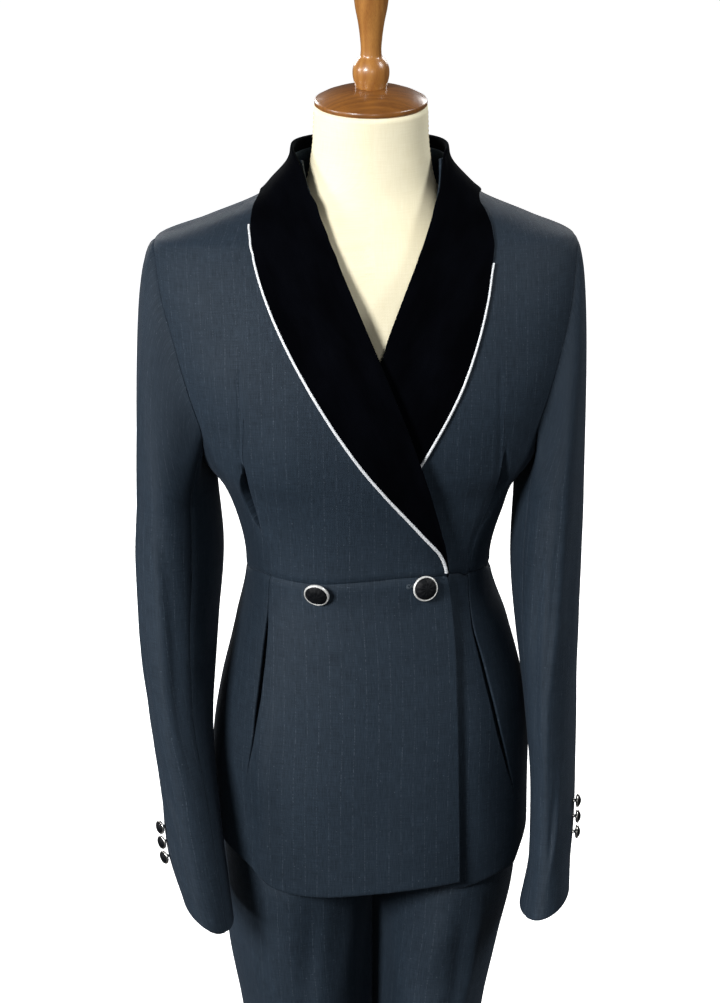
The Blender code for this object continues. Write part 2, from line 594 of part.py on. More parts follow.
def peplum_heights(side, turn, share):
    low = HEM[side].at("z", turn)
    high = WAIST.at("z", turn) - SEAM_GAP / 2
    return low + (high - low) * share


def peplum_front(side):
    """From the front edge to the side seam, cut from the waist down to the open pleat's tip."""
    sign = sign_of(side)
    tip = PLEAT_TIP[side]
    nominal = np.concatenate([np.linspace(0.812, tip, 4), np.linspace(tip, 1.100, 8)[1:]])
    edge = body_turn(FRONT_EDGE[side].at("x", nominal), nominal)
    rim = sign * (SIDE_SEAM_TURN - gap_turn(nominal)) * np.ones(len(nominal))
    cut = nominal > tip + 1e-6
    half = np.where(cut, PLEAT[side].at("open", nominal) / 2, 0)
    middle = PLEAT[side].at("x", nominal)
    lip_in = body_turn(middle - sign * half, nominal)
    lip_out = body_turn(middle + sign * half, nominal)
    turn = np.concatenate([spread(edge, lip_in, DART_COLUMNS[0]),
                           spread(lip_out, rim, DART_COLUMNS[1])], axis=1)
    share = ((nominal - nominal[0]) / (nominal[-1] - nominal[0]))[:, None]
    z = peplum_heights(side, turn, share)
    slit = (DART_COLUMNS[0] - 1, int(np.sum(cut)), False)
    jacket_wall(f"peplum_front_{side}", side, turn, z, slit=slit)


def peplum_strip(name, side, near, far, columns):
    sign = sign_of(side)
    share = np.linspace(0, 1, 9)
    nominal = 0.84 + 0.25 * share
    turn = sign * spread(near(nominal) + gap_turn(nominal), far(nominal) - gap_turn(nominal), columns)
    jacket_wall(name, side, turn, peplum_heights(side, turn, share[:, None]))


def side_line(z):
    return np.full(len(z), SIDE_SEAM_TURN)


def back_line(z):
    return BACK_SEAM.at("turn", z)


def centre_back_line(z):
    return np.full(len(z), 180.0)


def shawl_grid(side, columns, lift, stations=None):
    table = SHAWL[side]
    if stations is None:
        stations = COLLAR_STATIONS
    share = np.linspace(0, 1, columns)
    turn = spread(table.at("inner_turn", stations), table.at("outer_turn", stations), columns)
    z = spread(table.at("inner_z", stations), table.at("outer_z", stations), columns)
    free = (2.0, 6.0) if side == "R" else (6.0, 8.0)
    roll = 0.0016 * (1 - share) ** 3 * smooth_step(stations, *free)[:, None]
    return jacket(side, turn, z, lift + roll)


def shawl(side):
    """Lapel and half collar in one piece, laid on the front and back, to the centre back."""
    under = shawl_grid(side, COLLAR_COLUMNS, COLLAR_LIFT)
    over = shawl_grid(side, COLLAR_COLUMNS, COLLAR_LIFT + VELVET)
    wall(f"shawl_{side}", over, under, "velvet")


def tube(name, path, radius, finish, sides=5):
    """Round cord along a path of points, with a capped end at each."""
    path = np.asarray(path)
    count = len(path)
    run = np.gradient(path, axis=0)
    run /= np.linalg.norm(run, axis=1, keepdims=True)
    side = np.cross(run, [0.0, -1.0, 0.001])
    side /= np.linalg.norm(side, axis=1, keepdims=True)
    up = np.cross(side, run)
    angle = np.arange(sides) * 2 * math.pi / sides
    radius = np.broadcast_to(radius, count)
    ring = side[:, None] * np.cos(angle)[None, :, None] + up[:, None] * np.sin(angle)[None, :, None]
    points = path[:, None] + ring * radius[:, None, None]
    faces = []
    for r in range(count - 1):
        for c in range(sides):
            d = (c + 1) % sides
            faces.append((r * sides + c, r * sides + d, (r + 1) * sides + d, (r + 1) * sides + c))
    faces.append(tuple(reversed(range(sides))))
    faces.append(tuple((count - 1) * sides + c for c in range(sides)))
    return add_object(name, points.reshape(-1, 3), faces, finish)


def piping(side):
    """Cord along the collar's outer edge, lying on the front just outside the velvet."""
    low, high = PIPING_ENDS[side]
    between = COLLAR_STATIONS[(COLLAR_STATIONS > low) & (COLLAR_STATIONS < high)]
    stations = np.concatenate([[low], between, [high]])
    table = SHAWL[side]
    inner = jacket(side, table.at("inner_turn", stations), table.at("inner_z", stations))
    centre = COLLAR_LIFT + PIPING_RADIUS
    edge = jacket(side, table.at("outer_turn", stations), table.at("outer_z", stations), centre)
    run = np.gradient(edge, axis=0)
    out = normals(body, table.at("outer_turn", stations), table.at("outer_z", stations), 0.5, 0.001)
    aside = np.cross(run, out)
    aside /= np.linalg.norm(aside, axis=1, keepdims=True)
    away = np.sign(np.sum(aside * (edge - inner), axis=1))
    path = edge + aside * away[:, None] * (PIPING_RADIUS + SEAM_GAP * 2)
    tube(f"piping_{side}", path, PIPING_RADIUS, "piping")


def armhole_loop(side, around):
    """Point on the armhole for each angle round the sleeve: 0 at the shoulder tip, 90 in front,
    180 under the arm and 270 behind."""
    sign = sign_of(side)
    around = np.mod(around, 360.0)
    forward = around <= 180
    drop = np.where(forward, around, 360 - around) / 180
    steps = np.linspace(0, 1, 61)
    height = SHOULDER_TIP + (ARMHOLE_BOTTOM - SHOULDER_TIP) * (1 - np.cos(np.pi * steps)) / 2
    result = np.zeros(around.shape + (3,))
    for column, chosen in (("front_turn", forward), ("back_turn", ~forward)):
        points = jacket(side, sign * ARMHOLE.at(column, height), height)
        length = np.concatenate([[0], np.cumsum(np.linalg.norm(np.diff(points, axis=0), axis=1))])
        place = np.stack([np.interp(drop, length / length[-1], points[:, i]) for i in range(3)], -1)
        result[chosen] = place[chosen]
    return result


def sleeve_ring(side, around, z):
    """Point on the sleeve below its head."""
    table, sign = SLEEVE[side], sign_of(side)
    angle = np.radians(around)
    aside, ahead = np.cos(angle), np.sin(angle)
    half_x, half_y = table.at("half_x", z), table.at("half_y", z)
    swell = fold_lift(np.radians(np.mod(around + 180, 360) - 180) * 0.06, z, SLEEVE_FOLDS)
    out, back = aside * (half_x + swell), -ahead * (half_y + swell)
    lean = np.radians(table.at("turn", z))
    x = sign * (out * np.cos(lean) + back * np.sin(lean))
    y = back * np.cos(lean) - out * np.sin(lean)
    level = z + table.at("rise", z) * out
    return np.stack([table.at("centre_x", z) + x, table.at("centre_y", z) + y, level], axis=-1)


def sleeve(side, around, fall, lift=0.0):
    """Point on the sleeve: fall is 0 at the armhole, 1 where the head ends and 2 at the hem."""
    around, fall = np.broadcast_arrays(np.asarray(around, float), np.asarray(fall, float))

    def surface(a, f):
        low = SLEEVE[side].key[0]
        z = SLEEVE_TOP + (low - SLEEVE_TOP) * np.clip(f - 1, 0, 1)
        below = sleeve_ring(side, a, z)
        start = sleeve_start(side, a)
        end = sleeve_ring(side, a, np.full(a.shape, SLEEVE_TOP))
        p = np.clip(f, 0, 1)[..., None]
        reach = np.linalg.norm(end - start, axis=-1, keepdims=True)
        under = (1 - np.cos(np.radians(a)))[..., None] / 2
        out = np.concatenate([sign_of(side) * (1.0 - 0.9 * under), 0 * under, -0.15 - 0.85 * under], -1)
        out /= np.linalg.norm(out, axis=-1, keepdims=True)
        pull = SLEEVE_FULLNESS[side] * (1 - under) + 0.45 * reach * under
        down = np.array([0.0, 0.0, -1.0]) * reach * 0.9
        head = ((2 * p**3 - 3 * p**2 + 1) * start + (p**3 - 2 * p**2 + p) * out * pull
                + (3 * p**2 - 2 * p**3) * end + (p**3 - p**2) * down)
        return np.where(f[..., None] <= 1, head, below)

    out = sign_of(side) * normals(surface, around, fall, 1.0, 0.002)
    points = surface(around, fall)
    return points + out * lift


def sleeve_start(side, around):
    """The sleeve's top edge: the armhole, drawn in by the seam gap and tucked below its rim."""
    loop = armhole_loop(side, around)
    centre = armhole_loop(side, np.array([0.0, 90.0, 180.0, 270.0])).mean(axis=0)
    inward = centre - loop
    inward /= np.linalg.norm(inward, axis=-1, keepdims=True)
    outward = np.array([sign_of(side), 0.0, -0.3])
    under = (1 - np.cos(np.radians(around)))[..., None] / 2
    return loop + inward * 0.0012 + outward * SEAM_GAP * (1.5 + 2 * under)


def sleeve_piece(name, side, columns):
    falls = np.concatenate([[0, 0.07, 0.18, 0.36, 0.6, 0.82], np.linspace(1, 2, 8)])
    half_gap = math.degrees(SEAM_GAP / 2 / 0.045)
    around = np.array(columns, dtype=float)
    around[0] += half_gap
    around[-1] -= half_gap
    around, fall = np.meshgrid(around, falls)
    wall(name, sleeve(side, around, fall), sleeve(side, around, fall, -CLOTH), "suiting")


def trouser_surface(side, front, share, z):
    """Point on a trouser panel: share 0 at the side seam, 1 at the centre seam or inseam."""
    sign = sign_of(side)
    width = TROUSERS.at("right" if side == "R" else "left", z)
    depth = TROUSERS.at("front" if front else "back", z)
    away = -1.0 if front else 1.0
    quarter = np.radians(90 * (1 - share))
    hip = (np.sin(quarter) ** 0.87 * width, np.cos(quarter) ** 0.87 * depth * away)
    half_angle = np.pi * share
    ahead = np.abs(np.sin(half_angle)) ** 1.12
    middle, half = (width + LEG_GAP) / 2, (width - LEG_GAP) / 2
    leg = (middle + half * np.cos(half_angle), ahead * depth * away)
    split = 1 - smooth_step(z, *CROTCH)
    x = hip[0] * (1 - split) + leg[0] * split
    y = hip[1] * (1 - split) + leg[1] * split
    across = share * 0.20 if front else -share * 0.20
    lift = fold_lift(across, z, TROUSER_FOLDS) * np.sin(np.pi * np.clip(share, 0, 1)) ** 0.5
    reach = 1 + lift / 0.09
    x = middle + (x - middle) * reach
    return np.stack(np.broadcast_arrays(sign * np.maximum(x, SEAM_GAP * 0.7), y * reach, z), -1)


def trouser_panel(side, front):
    sign = sign_of(side)
    facing = -1.0 if front else 1.0
    heights = np.array([TROUSER_HEM, 0.26, 0.42, 0.54, 0.64, 0.72, CROTCH[0], 0.808,
                        0.834, CROTCH[1], 0.92, 0.98, 1.035, WAISTBAND[0] - SEAM_GAP])
    share, z = np.meshgrid(np.linspace(0, 1, 8), heights)

    def surface(s, h):
        return trouser_surface(side, front, np.clip(s, 0, 1), h)

    out = normals(surface, np.clip(share, 0.004, 0.996), z, 0.004, 0.001) * sign * facing
    side_gap = np.zeros(share.shape + (3,))
    side_gap[..., 1] = facing * SEAM_GAP / 2 * (1 - share) ** 8
    inseam = (1 - smooth_step(z, *CROTCH)) * share**8
    side_gap[..., 1] += facing * SEAM_GAP / 2 * inseam
    outer = surface(share, z) + side_gap
    word = "front" if front else "back"
    wall(f"trouser_{word}_{side}", outer, outer - out * CLOTH, "suiting")


def waistband():
    """Closed band round the top of the trousers."""
    turn, z = np.meshgrid(np.arange(0, 360, 15.0), np.array(WAISTBAND))

    def ring(shrink):
        x, y = oval(turn, 1.0, TROUSERS.at("front", z) - shrink, TROUSERS.at("back", z) - shrink, 2.3)
        width = np.where(x < 0, TROUSERS.at("right", z), TROUSERS.at("left", z)) - shrink
        return np.stack([x * width, y, z], -1)

    wall("waistband", ring(0.0), ring(CLOTH * 1.6), "suiting", wrap=True)


def lathe(name, profile, finish, place, tilt=0.0, sides=32):
    """Solid turned about its own axis from (radius, height) pairs, foot to top."""
    points, faces, rings = [], [], []
    lean = math.radians(tilt)
    for radius, height in profile:
        start = len(points)
        count = 1 if radius == 0 else sides
        for i in range(count):
            angle = 2 * math.pi * i / sides
            x, y, z = radius * math.cos(angle), radius * math.sin(angle), height
            points.append((place[0] + x, place[1] + y * math.cos(lean) - z * math.sin(lean),
                           place[2] + y * math.sin(lean) + z * math.cos(lean)))
        rings.append(range(start, start + count))
    for low, high in zip(rings, rings[1:]):
        for i in range(sides):
            j = (i + 1) % sides
            if len(low) == 1:
                faces.append((low[0], high[j], high[i]))
            elif len(high) == 1:
                faces.append((low[i], low[j], high[0]))
            else:
                faces.append((low[i], low[j], high[j], high[i]))
    return add_object(name, points, faces, finish)


def form_torso():
    """The covered torso: a closed skin of ovals from its flat underside to its neck."""
    heights = np.array([0.868, 0.880, 0.930, 0.985, 1.034, 1.065, 1.095, 1.125, 1.150, 1.200,
                        1.240, 1.300, 1.350, 1.370, 1.385, 1.398, 1.410, 1.420, 1.430, 1.450,
                        1.480, NECK_PLANE])
    sides = 32
    turn, z = np.meshgrid(np.arange(sides) * 360 / sides, heights)
    x, y = oval(turn, TORSO.at("half_width", z), TORSO.at("front", z), TORSO.at("back", z),
                TORSO.at("power", z))
    near_top = smooth_step(z, 1.480, NECK_PLANE)
    z = z + y * math.tan(math.radians(CAP_TILT)) * near_top
    points = np.stack([x, y, z], -1).reshape(-1, 3)
    faces = sheet_faces(len(heights), sides, wrap=True)
    faces.append(tuple(range(sides)))
    top = (len(heights) - 1) * sides
    faces.append(tuple(top + i for i in reversed(range(sides))))
    add_object("form_torso", points, faces, "cover")


def wooden_parts():
    lean = math.radians(CAP_TILT)
    cap_foot = (0.0, 0.0, NECK_PLANE + SEAM_GAP)
    lathe("neck_cap", CAP_PROFILE, "wood", cap_foot, CAP_TILT, 40)
    rise = CAP_PROFILE[-1][1] + SEAM_GAP
    finial_foot = (0.0, -rise * math.sin(lean), cap_foot[2] + rise * math.cos(lean))
    lathe("neck_finial", FINIAL_PROFILE, "wood", finial_foot, CAP_TILT, 24)
    pole_length = FORM_BOTTOM - BASE_HEIGHT - 2 * SEAM_GAP
    pole = [(0.0, 0.0), (POLE_RADIUS, 0.0), (POLE_RADIUS, pole_length), (0.0, pole_length)]
    lathe("stand_pole", pole, "wood", (POLE_X, 0.0, BASE_HEIGHT + SEAM_GAP), 0.0, 20)
    rim = 0.006
    disc = [(0.0, 0.0), (BASE_RADIUS - 0.002, 0.0), (BASE_RADIUS, 0.002),
            (BASE_RADIUS, BASE_HEIGHT - rim), (BASE_RADIUS - rim * 0.3, BASE_HEIGHT - rim * 0.3),
            (BASE_RADIUS - rim, BASE_HEIGHT), (0.0, BASE_HEIGHT)]
    lathe("stand_base", disc, "wood", (0.0, 0.0, 0.0), 0.0, 64)


def placed_lathe(name, profile, finish, foot, axis, sides):
    """A turned solid whose axis points along a direction."""
    obj = lathe(name, profile, finish, (0.0, 0.0, 0.0), 0.0, sides)
    axis = np.asarray(axis) / np.linalg.norm(axis)
    across = np.cross([0.0, 0.0, 1.0], axis)
    across /= np.linalg.norm(across)
    up = np.cross(axis, across)
    for vertex in obj.data.vertices:
        x, y, z = vertex.co
        vertex.co = np.asarray(foot) + across * x + up * y + axis * z
    return obj


FRONT_BUTTONS = [
    # name, x, z, droop in degrees, foot above the cloth
    ("right", -0.0522, 1.0940, -22.0, 0.0050),
    ("left", 0.0436, 1.0970, 6.0, 0.0016),
]


def front_button(name, x, z, droop, foot):
    """Covered dome in a metal ring, standing off the right front on its shank."""
    turn = body_turn(x, z)
    out = normals(body, turn, np.asarray(z), 0.5, 0.001)
    lean = math.radians(droop)
    axis = np.array([out[0], out[1], out[2] + math.tan(lean)])
    seat = jacket("R", turn, z, foot)
    r = BUTTON_RADIUS
    ring = [(0.0, 0.0), (r * 0.80, 0.0), (r, 0.0016), (r, 0.0034), (r * 0.93, 0.0042),
            (r * 0.83, 0.0042), (r * 0.83, 0.0030), (0.0, 0.0030)]
    cap = [(0.0, 0.0033), (r * 0.80, 0.0033), (r * 0.80, 0.0044), (r * 0.66, 0.0060),
           (r * 0.42, 0.0071), (0.0, 0.0076)]
    placed_lathe(f"button_ring_{name}", ring, "silver", seat, axis, 24)
    placed_lathe(f"button_cap_{name}", cap, "button_cap", seat, axis, 24)


def sleeve_buttons(side):
    """Three domed buttons on shanks up the outside of the cuff."""
    low = SLEEVE[side].key[0]
    r = SLEEVE_BUTTON_RADIUS
    stem, foot = SHANK
    profile = [(0.0, 0.0), (stem, 0.0), (stem, foot), (r * 0.8, foot), (r, foot + 0.0010),
               (r, foot + 0.0020), (r * 0.62, foot + 0.0042), (0.0, foot + 0.0046)]
    around, droop, rises = CUFF_BUTTONS[side]
    for number, rise in enumerate(rises, start=1):
        fall = 2 - rise / (SLEEVE_TOP - low)
        seat = sleeve(side, around, fall, SEAM_GAP)
        out = (sleeve(side, around, fall, 1.0) - sleeve(side, around, fall, 0.0))
        ahead = np.array([0.0, -1.0, 0.0])
        ahead -= out * np.dot(ahead, out)
        lean = math.radians(droop)
        axis = out * math.cos(lean) + ahead * math.sin(lean)
        seat = seat + out * stem * math.sin(lean)
        placed_lathe(f"sleeve_button_{side}_{number}", profile, "silver", seat, axis, 10)


def build():
    for obj in list(bpy.data.objects):
        bpy.data.objects.remove(obj, do_unlink=True)
    for side in ("R", "L"):
        bodice_front(side)
        bodice_side(side)
        bodice_back(side)
        peplum_front(side)
        peplum_strip(f"peplum_side_{side}", side, side_line, back_line, SIDE_COLUMNS)
        peplum_strip(f"peplum_back_{side}", side, back_line, centre_back_line,
                     BACK_COLUMNS)
        shawl(side)
        piping(side)
        sleeve_piece(f"sleeve_upper_{side}", side, UPPER_SLEEVE_COLUMNS)
        sleeve_piece(f"sleeve_under_{side}", side, UNDER_SLEEVE_COLUMNS)
        sleeve_buttons(side)
        trouser_panel(side, True)
        trouser_panel(side, False)
    waistband()
    for row in FRONT_BUTTONS:
        front_button(*row)
    form_torso()
    wooden_parts()


build()
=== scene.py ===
import math

import bpy
import numpy as np
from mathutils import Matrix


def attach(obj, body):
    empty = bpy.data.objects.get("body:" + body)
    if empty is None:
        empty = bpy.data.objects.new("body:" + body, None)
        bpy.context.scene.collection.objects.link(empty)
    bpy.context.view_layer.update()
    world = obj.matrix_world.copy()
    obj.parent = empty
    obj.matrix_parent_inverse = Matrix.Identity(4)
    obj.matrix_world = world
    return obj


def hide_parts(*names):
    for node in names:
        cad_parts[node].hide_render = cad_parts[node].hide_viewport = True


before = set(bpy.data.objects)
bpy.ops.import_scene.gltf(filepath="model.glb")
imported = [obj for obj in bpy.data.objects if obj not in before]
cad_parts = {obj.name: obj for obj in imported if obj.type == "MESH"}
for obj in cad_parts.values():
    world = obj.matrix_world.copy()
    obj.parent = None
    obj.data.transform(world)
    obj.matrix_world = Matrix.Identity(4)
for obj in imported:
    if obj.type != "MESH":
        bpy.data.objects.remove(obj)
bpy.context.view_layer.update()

# A fitted jacket and trousers on a dress form. Metres, +Z up, the front faces -Y, the wearer's
# right side is -X. Turns are degrees round from the front centre, negative to the wearer's right.
print("frame loaded")

viewpoint = {
    "turn": -3.0,                     # degrees round from the front
    "distance": 3.15,                 # level distance from the form's axis
    "height": 2.15,
    "aim": (-0.0098, 0.0, 1.149),
    "lens": 126.9,                    # on a 36 mm sensor
    "farthest": 200.0,
}
studio = {
    "air": (1.0, 1.0, 1.0),
    "airStrength": 0.06,
    "floorColour": (0.93, 0.93, 0.93),
    "floorGlow": 0.92,
    "floorSides": 64,
    "lampAim": (0.0, 0.0, 1.1),
    # radius and height of the sweep that the floor rises in, far out
    "sweep": [(14.0, 0.0), (17.0, 0.5), (20.0, 2.2), (22.0, 5.5), (23.0, 13.0)],
    # name, place, size, power, colour
    "lamps": [
        ("lampLeft", (-4.14, -0.73, 2.10), 1.3, 75.0, (0.97, 0.98, 1.0)),
        ("lampKey", (-2.48, -3.12, 2.80), 1.2, 222.0, (1.0, 1.0, 1.0)),
        ("lampFront", (0.30, -4.20, 2.10), 1.2, 20.0, (1.0, 1.0, 1.0)),
        ("lampRight", (3.34, -0.59, 3.80), 1.3, 95.0, (0.97, 0.99, 1.0)),
        ("lampBackLeft", (-1.90, 3.80, 2.40), 1.6, 85.0, (1.0, 1.0, 1.0)),
        ("lampBackRight", (2.10, 3.70, 2.60), 1.6, 60.0, (1.0, 1.0, 1.0)),
    ],
}


def connect(tree, node, sockets):
    # each value is a number, a colour or the socket of another node
    for place, value in sockets.items():
        if isinstance(value, bpy.types.NodeSocket):
            tree.links.new(value, node.inputs[place])
        else:
            node.inputs[place].default_value = value


def shown(name, data):
    item = bpy.data.objects.new(name, data)
    bpy.context.scene.collection.objects.link(item)
    return item


def aimAt(item, place, target):
    ahead = np.array(target, float) - np.array(place, float)
    item.location = place
    level = math.hypot(ahead[0], ahead[1])
    item.rotation_euler = (math.atan2(level, -ahead[2]), 0.0, math.atan2(-ahead[0], ahead[1]))


def makeStudio():
    scene = bpy.context.scene
    scene.view_settings.view_transform = "Standard"
    world = bpy.data.worlds.new("studioAir")
    world.use_nodes = True
    sky = world.node_tree.nodes["Background"]
    sky.inputs["Color"].default_value = (*studio["air"], 1.0)
    sky.inputs["Strength"].default_value = studio["airStrength"]
    scene.world = world
    camera = shown("camera", bpy.data.cameras.new("camera"))
    angle = math.radians(viewpoint["turn"])
    place = (math.sin(angle) * viewpoint["distance"], -math.cos(angle) * viewpoint["distance"],
             viewpoint["height"])
    aimAt(camera, place, viewpoint["aim"])
    camera.data.lens = viewpoint["lens"]
    camera.data.clip_end = viewpoint["farthest"]
    scene.camera = camera
    for name, place, size, power, colour in studio["lamps"]:
        light = bpy.data.lights.new(name, "AREA")
        light.shape = "DISK"
        light.size = size
        light.energy = power
        light.color = colour
        aimAt(shown(name, light), place, studio["lampAim"])
    mesh = bpy.data.meshes.new("floor")
    sides = studio["floorSides"]
    rings = [(radius * math.cos(step * math.tau / sides), radius * math.sin(step * math.tau / sides),
              rise) for radius, rise in studio["sweep"] for step in range(sides)]
    faces = [tuple(range(sides))]
    for ring in range(len(studio["sweep"]) - 1):
        for step in range(sides):
            first, second = ring * sides + step, ring * sides + (step + 1) % sides
            faces.append((first, first + sides, second + sides, second))
    mesh.from_pydata(rings, [], faces)
    floor = shown("floor", mesh)
    floor.visible_diffuse = floor.visible_glossy = False
    paint = bpy.data.materials.new("floorPaint")
    paint.use_nodes = True
    connect(paint.node_tree, paint.node_tree.nodes["Principled BSDF"], {
        "Base Color": (*studio["floorColour"], 1.0), "Roughness": 0.9,
        "Emission Color": (1.0, 1.0, 1.0, 1.0), "Emission Strength": studio["floorGlow"]})
    mesh.materials.append(paint)


makeStudio()
print("camera, lamps and floor made")


# Materials. Cloth patterns read the piece's own map, in metres across and along the cloth.
def addNode(tree, kind, sockets=None, **settings):
    node = tree.nodes.new(kind)
    for name, value in settings.items():
        setattr(node, name, value)
    connect(tree, node, sockets or {})
    return node


def calc(tree, operation, *values):
    sockets = dict(enumerate(values))
    return addNode(tree, "ShaderNodeMath", sockets, operation=operation).outputs[0]


def blendColours(tree, share, *colours):
    first, second = (colour if isinstance(colour, bpy.types.NodeSocket) else (*colour, 1.0)
                     for colour in colours)
    # 6 and 7 are the node's two colour sockets
    sockets = {0: share, 6: first, 7: second}
    return addNode(tree, "ShaderNodeMix", sockets, data_type="RGBA").outputs[2]


def swayed(tree, tone, pattern, amount):
    # a tone raised and lowered by a pattern that is even at 0.5
    return calc(tree, "MULTIPLY_ADD", calc(tree, "SUBTRACT", pattern, 0.5), amount, tone)


def clothPlace(tree):
    return addNode(tree, "ShaderNodeUVMap", uv_map="cloth").outputs["UV"]


def solidPlace(tree):
    return addNode(tree, "ShaderNodeTexCoord").outputs["Object"]


def axesOf(tree, place):
    parts = addNode(tree, "ShaderNodeSeparateXYZ", {"Vector": place})
    return parts.outputs["X"], parts.outputs["Y"]


def ranged(tree, value, low, high, newLow=0.0, newHigh=1.0):
    sockets = {"Value": value, "From Min": low, "From Max": high, "To Min": newLow, "To Max": newHigh}
    return addNode(tree, "ShaderNodeMapRange", sockets).outputs[0]


def noise(tree, where, scale, detail=2.0, roughness=0.5):
    sockets = {"Vector": where, "Scale": scale, "Detail": detail, "Roughness": roughness}
    return addNode(tree, "ShaderNodeTexNoise", sockets).outputs["Fac"]


def stretched(tree, where, scale):
    return addNode(tree, "ShaderNodeMapping", {"Vector": where, "Scale": scale}).outputs["Vector"]


def bump(tree, height, depth, strength=1.0, before=None):
    sockets = {"Height": height, "Distance": depth, "Strength": strength}
    if before is not None:
        sockets["Normal"] = before
    return addNode(tree, "ShaderNodeBump", sockets).outputs["Normal"]


def newMaterial(name, roughness, level, metallic=0.0):
    material = bpy.data.materials.new(name)
    material.use_nodes = True
    tree = material.node_tree
    shader = tree.nodes["Principled BSDF"]
    connect(tree, shader, {"Roughness": roughness, "Specular IOR Level": level, "Metallic": metallic})
    return material, tree, shader


wool = {
    "shade": (0.0081, 0.0138, 0.0212),
    "light": (0.0208, 0.0331, 0.0492),
    "thread": 0.0009,                # width of a twill rib
    "pickShare": 0.8,                # cross threads are closer than the ribs
    "twillSlope": 0.55,
    "wander": 0.00045,
    "stripeGap": 0.0112,             # between pinstripes
    "stripeWidth": 0.0005,
    "stripeLength": 0.0011,          # of each pinpoint along the stripe
    "stripeColour": (0.120, 0.150, 0.190),
    "stripeStrength": 0.30,
    "fleckStrength": 0.3,
    "sheen": 0.04,
    "sheenTint": (0.62, 0.76, 1.0, 1.0),
    "weaveDepth": 0.00010,
    "fuzzDepth": 0.00018,
}


def makeWool():
    material, tree, shader = newMaterial("navyWorsted", 0.66, 0.15)
    cloth = clothPlace(tree)
    across, along = axesOf(tree, cloth)
    rib, pick = wool["thread"], wool["thread"] * wool["pickShare"]
    slope = calc(tree, "ADD", across, calc(tree, "MULTIPLY", along, wool["twillSlope"]))
    wander = calc(tree, "MULTIPLY", noise(tree, cloth, 220.0, 1.0), wool["wander"])
    slope = calc(tree, "ADD", slope, wander)
    ribs = calc(tree, "SINE", calc(tree, "MULTIPLY", slope, 2 * math.pi / rib))
    picks = calc(tree, "SINE", calc(tree, "MULTIPLY", along, 2 * math.pi / pick))
    weave = calc(tree, "MULTIPLY_ADD", picks, 0.45, ribs)
    warp = noise(tree, stretched(tree, cloth, (1500.0, 70.0, 1.0)), 1.0, 3.0, 0.6)
    weft = noise(tree, stretched(tree, cloth, (60.0, 1300.0, 1.0)), 1.0, 2.0, 0.55)
    yarn = calc(tree, "MULTIPLY_ADD", weft, 0.55, warp)
    grain = noise(tree, cloth, 1100.0, 1.0, 0.5)
    cloud = noise(tree, cloth, 16.0, 2.0, 0.5)
    tone = calc(tree, "MULTIPLY_ADD", ribs, 0.07, ranged(tree, yarn, 0.52, 1.05))
    tone = swayed(tree, swayed(tree, tone, grain, 0.55), cloud, 0.35)
    ground = blendColours(tree, ranged(tree, tone, 0.0, 1.0), wool["shade"], wool["light"])
    # 100.5 puts a stripe at the middle of the map and numbers the stripes above zero
    gap = wool["stripeGap"]
    count = calc(tree, "ADD", calc(tree, "DIVIDE", across, gap), 100.5)
    aside = calc(tree, "ABSOLUTE", calc(tree, "SUBTRACT", calc(tree, "FRACT", count), 0.5))
    line = ranged(tree, aside, wool["stripeWidth"] / gap / 2, wool["stripeWidth"] / gap, 1.0, 0.0)
    stripe = calc(tree, "FLOOR", count)
    step = calc(tree, "FLOOR", calc(tree, "DIVIDE", along, wool["stripeLength"]))
    cell = addNode(tree, "ShaderNodeCombineXYZ", {"X": stripe, "Y": step})
    chance = addNode(tree, "ShaderNodeTexWhiteNoise", {"Vector": cell.outputs[0]}).outputs["Value"]
    points = calc(tree, "MULTIPLY", line, ranged(tree, chance, 0.30, 0.95))
    strength = ranged(tree, noise(tree, stretched(tree, cloth, (89.0, 8.0, 1.0)), 1.0, 1.0), 0.35, 0.75)
    points = calc(tree, "MULTIPLY", points, calc(tree, "MULTIPLY_ADD", strength, 0.7, 0.3))
    share = calc(tree, "MULTIPLY", points, wool["stripeStrength"])
    colour = blendColours(tree, share, ground, wool["stripeColour"])
    fleck = ranged(tree, noise(tree, cloth, 520.0, 0.0), 0.80, 0.86)
    share = calc(tree, "MULTIPLY", fleck, wool["fleckStrength"])
    height = calc(tree, "MULTIPLY_ADD", points, 0.6, weave)
    fuzz = bump(tree, yarn, wool["fuzzDepth"], 0.55)
    connect(tree, shader, {
        "Base Color": blendColours(tree, share, colour, wool["stripeColour"]),
        "Roughness": ranged(tree, yarn, 0.4, 1.1, 0.70, 0.56),
        "Normal": bump(tree, height, wool["weaveDepth"], 0.45, fuzz),
        "Sheen Weight": wool["sheen"], "Sheen Roughness": 0.45, "Sheen Tint": wool["sheenTint"]})
    return material


pile = {
    "colour": (0.0003, 0.0004, 0.0009),
    "brushed": (0.0012, 0.0015, 0.0028),
    "sheen": 0.012,
    "sheenTint": (0.55, 0.80, 1.0, 1.0),
    "napDepth": 0.0010,
    "tuftDepth": 0.0003,
}


def makeVelvet():
    material, tree, shader = newMaterial("blackVelvet", 0.92, 0.02)
    cloth = clothPlace(tree)
    nap = noise(tree, stretched(tree, cloth, (34.0, 12.0, 1.0)), 1.0, 3.0, 0.55)
    tufts = noise(tree, cloth, 1500.0, 1.0)
    share = ranged(tree, calc(tree, "MULTIPLY_ADD", tufts, 0.35, nap), 0.55, 1.0)
    connect(tree, shader, {
        "Base Color": blendColours(tree, share, pile["colour"], pile["brushed"]),
        "Roughness": ranged(tree, nap, 0.3, 0.7, 0.98, 0.86),
        "Normal": bump(tree, tufts, pile["tuftDepth"], 0.6, bump(tree, nap, pile["napDepth"], 0.5)),
        "Sheen Weight": pile["sheen"], "Sheen Roughness": 0.35, "Sheen Tint": pile["sheenTint"]})
    return material


# dark is the cord's own uneven tone, and also painted shade in the grooves between the twisted strands
satin = {"light": (0.92, 0.94, 0.96), "dark": (0.50, 0.52, 0.55), "twist": 0.0017, "depth": 0.00020}


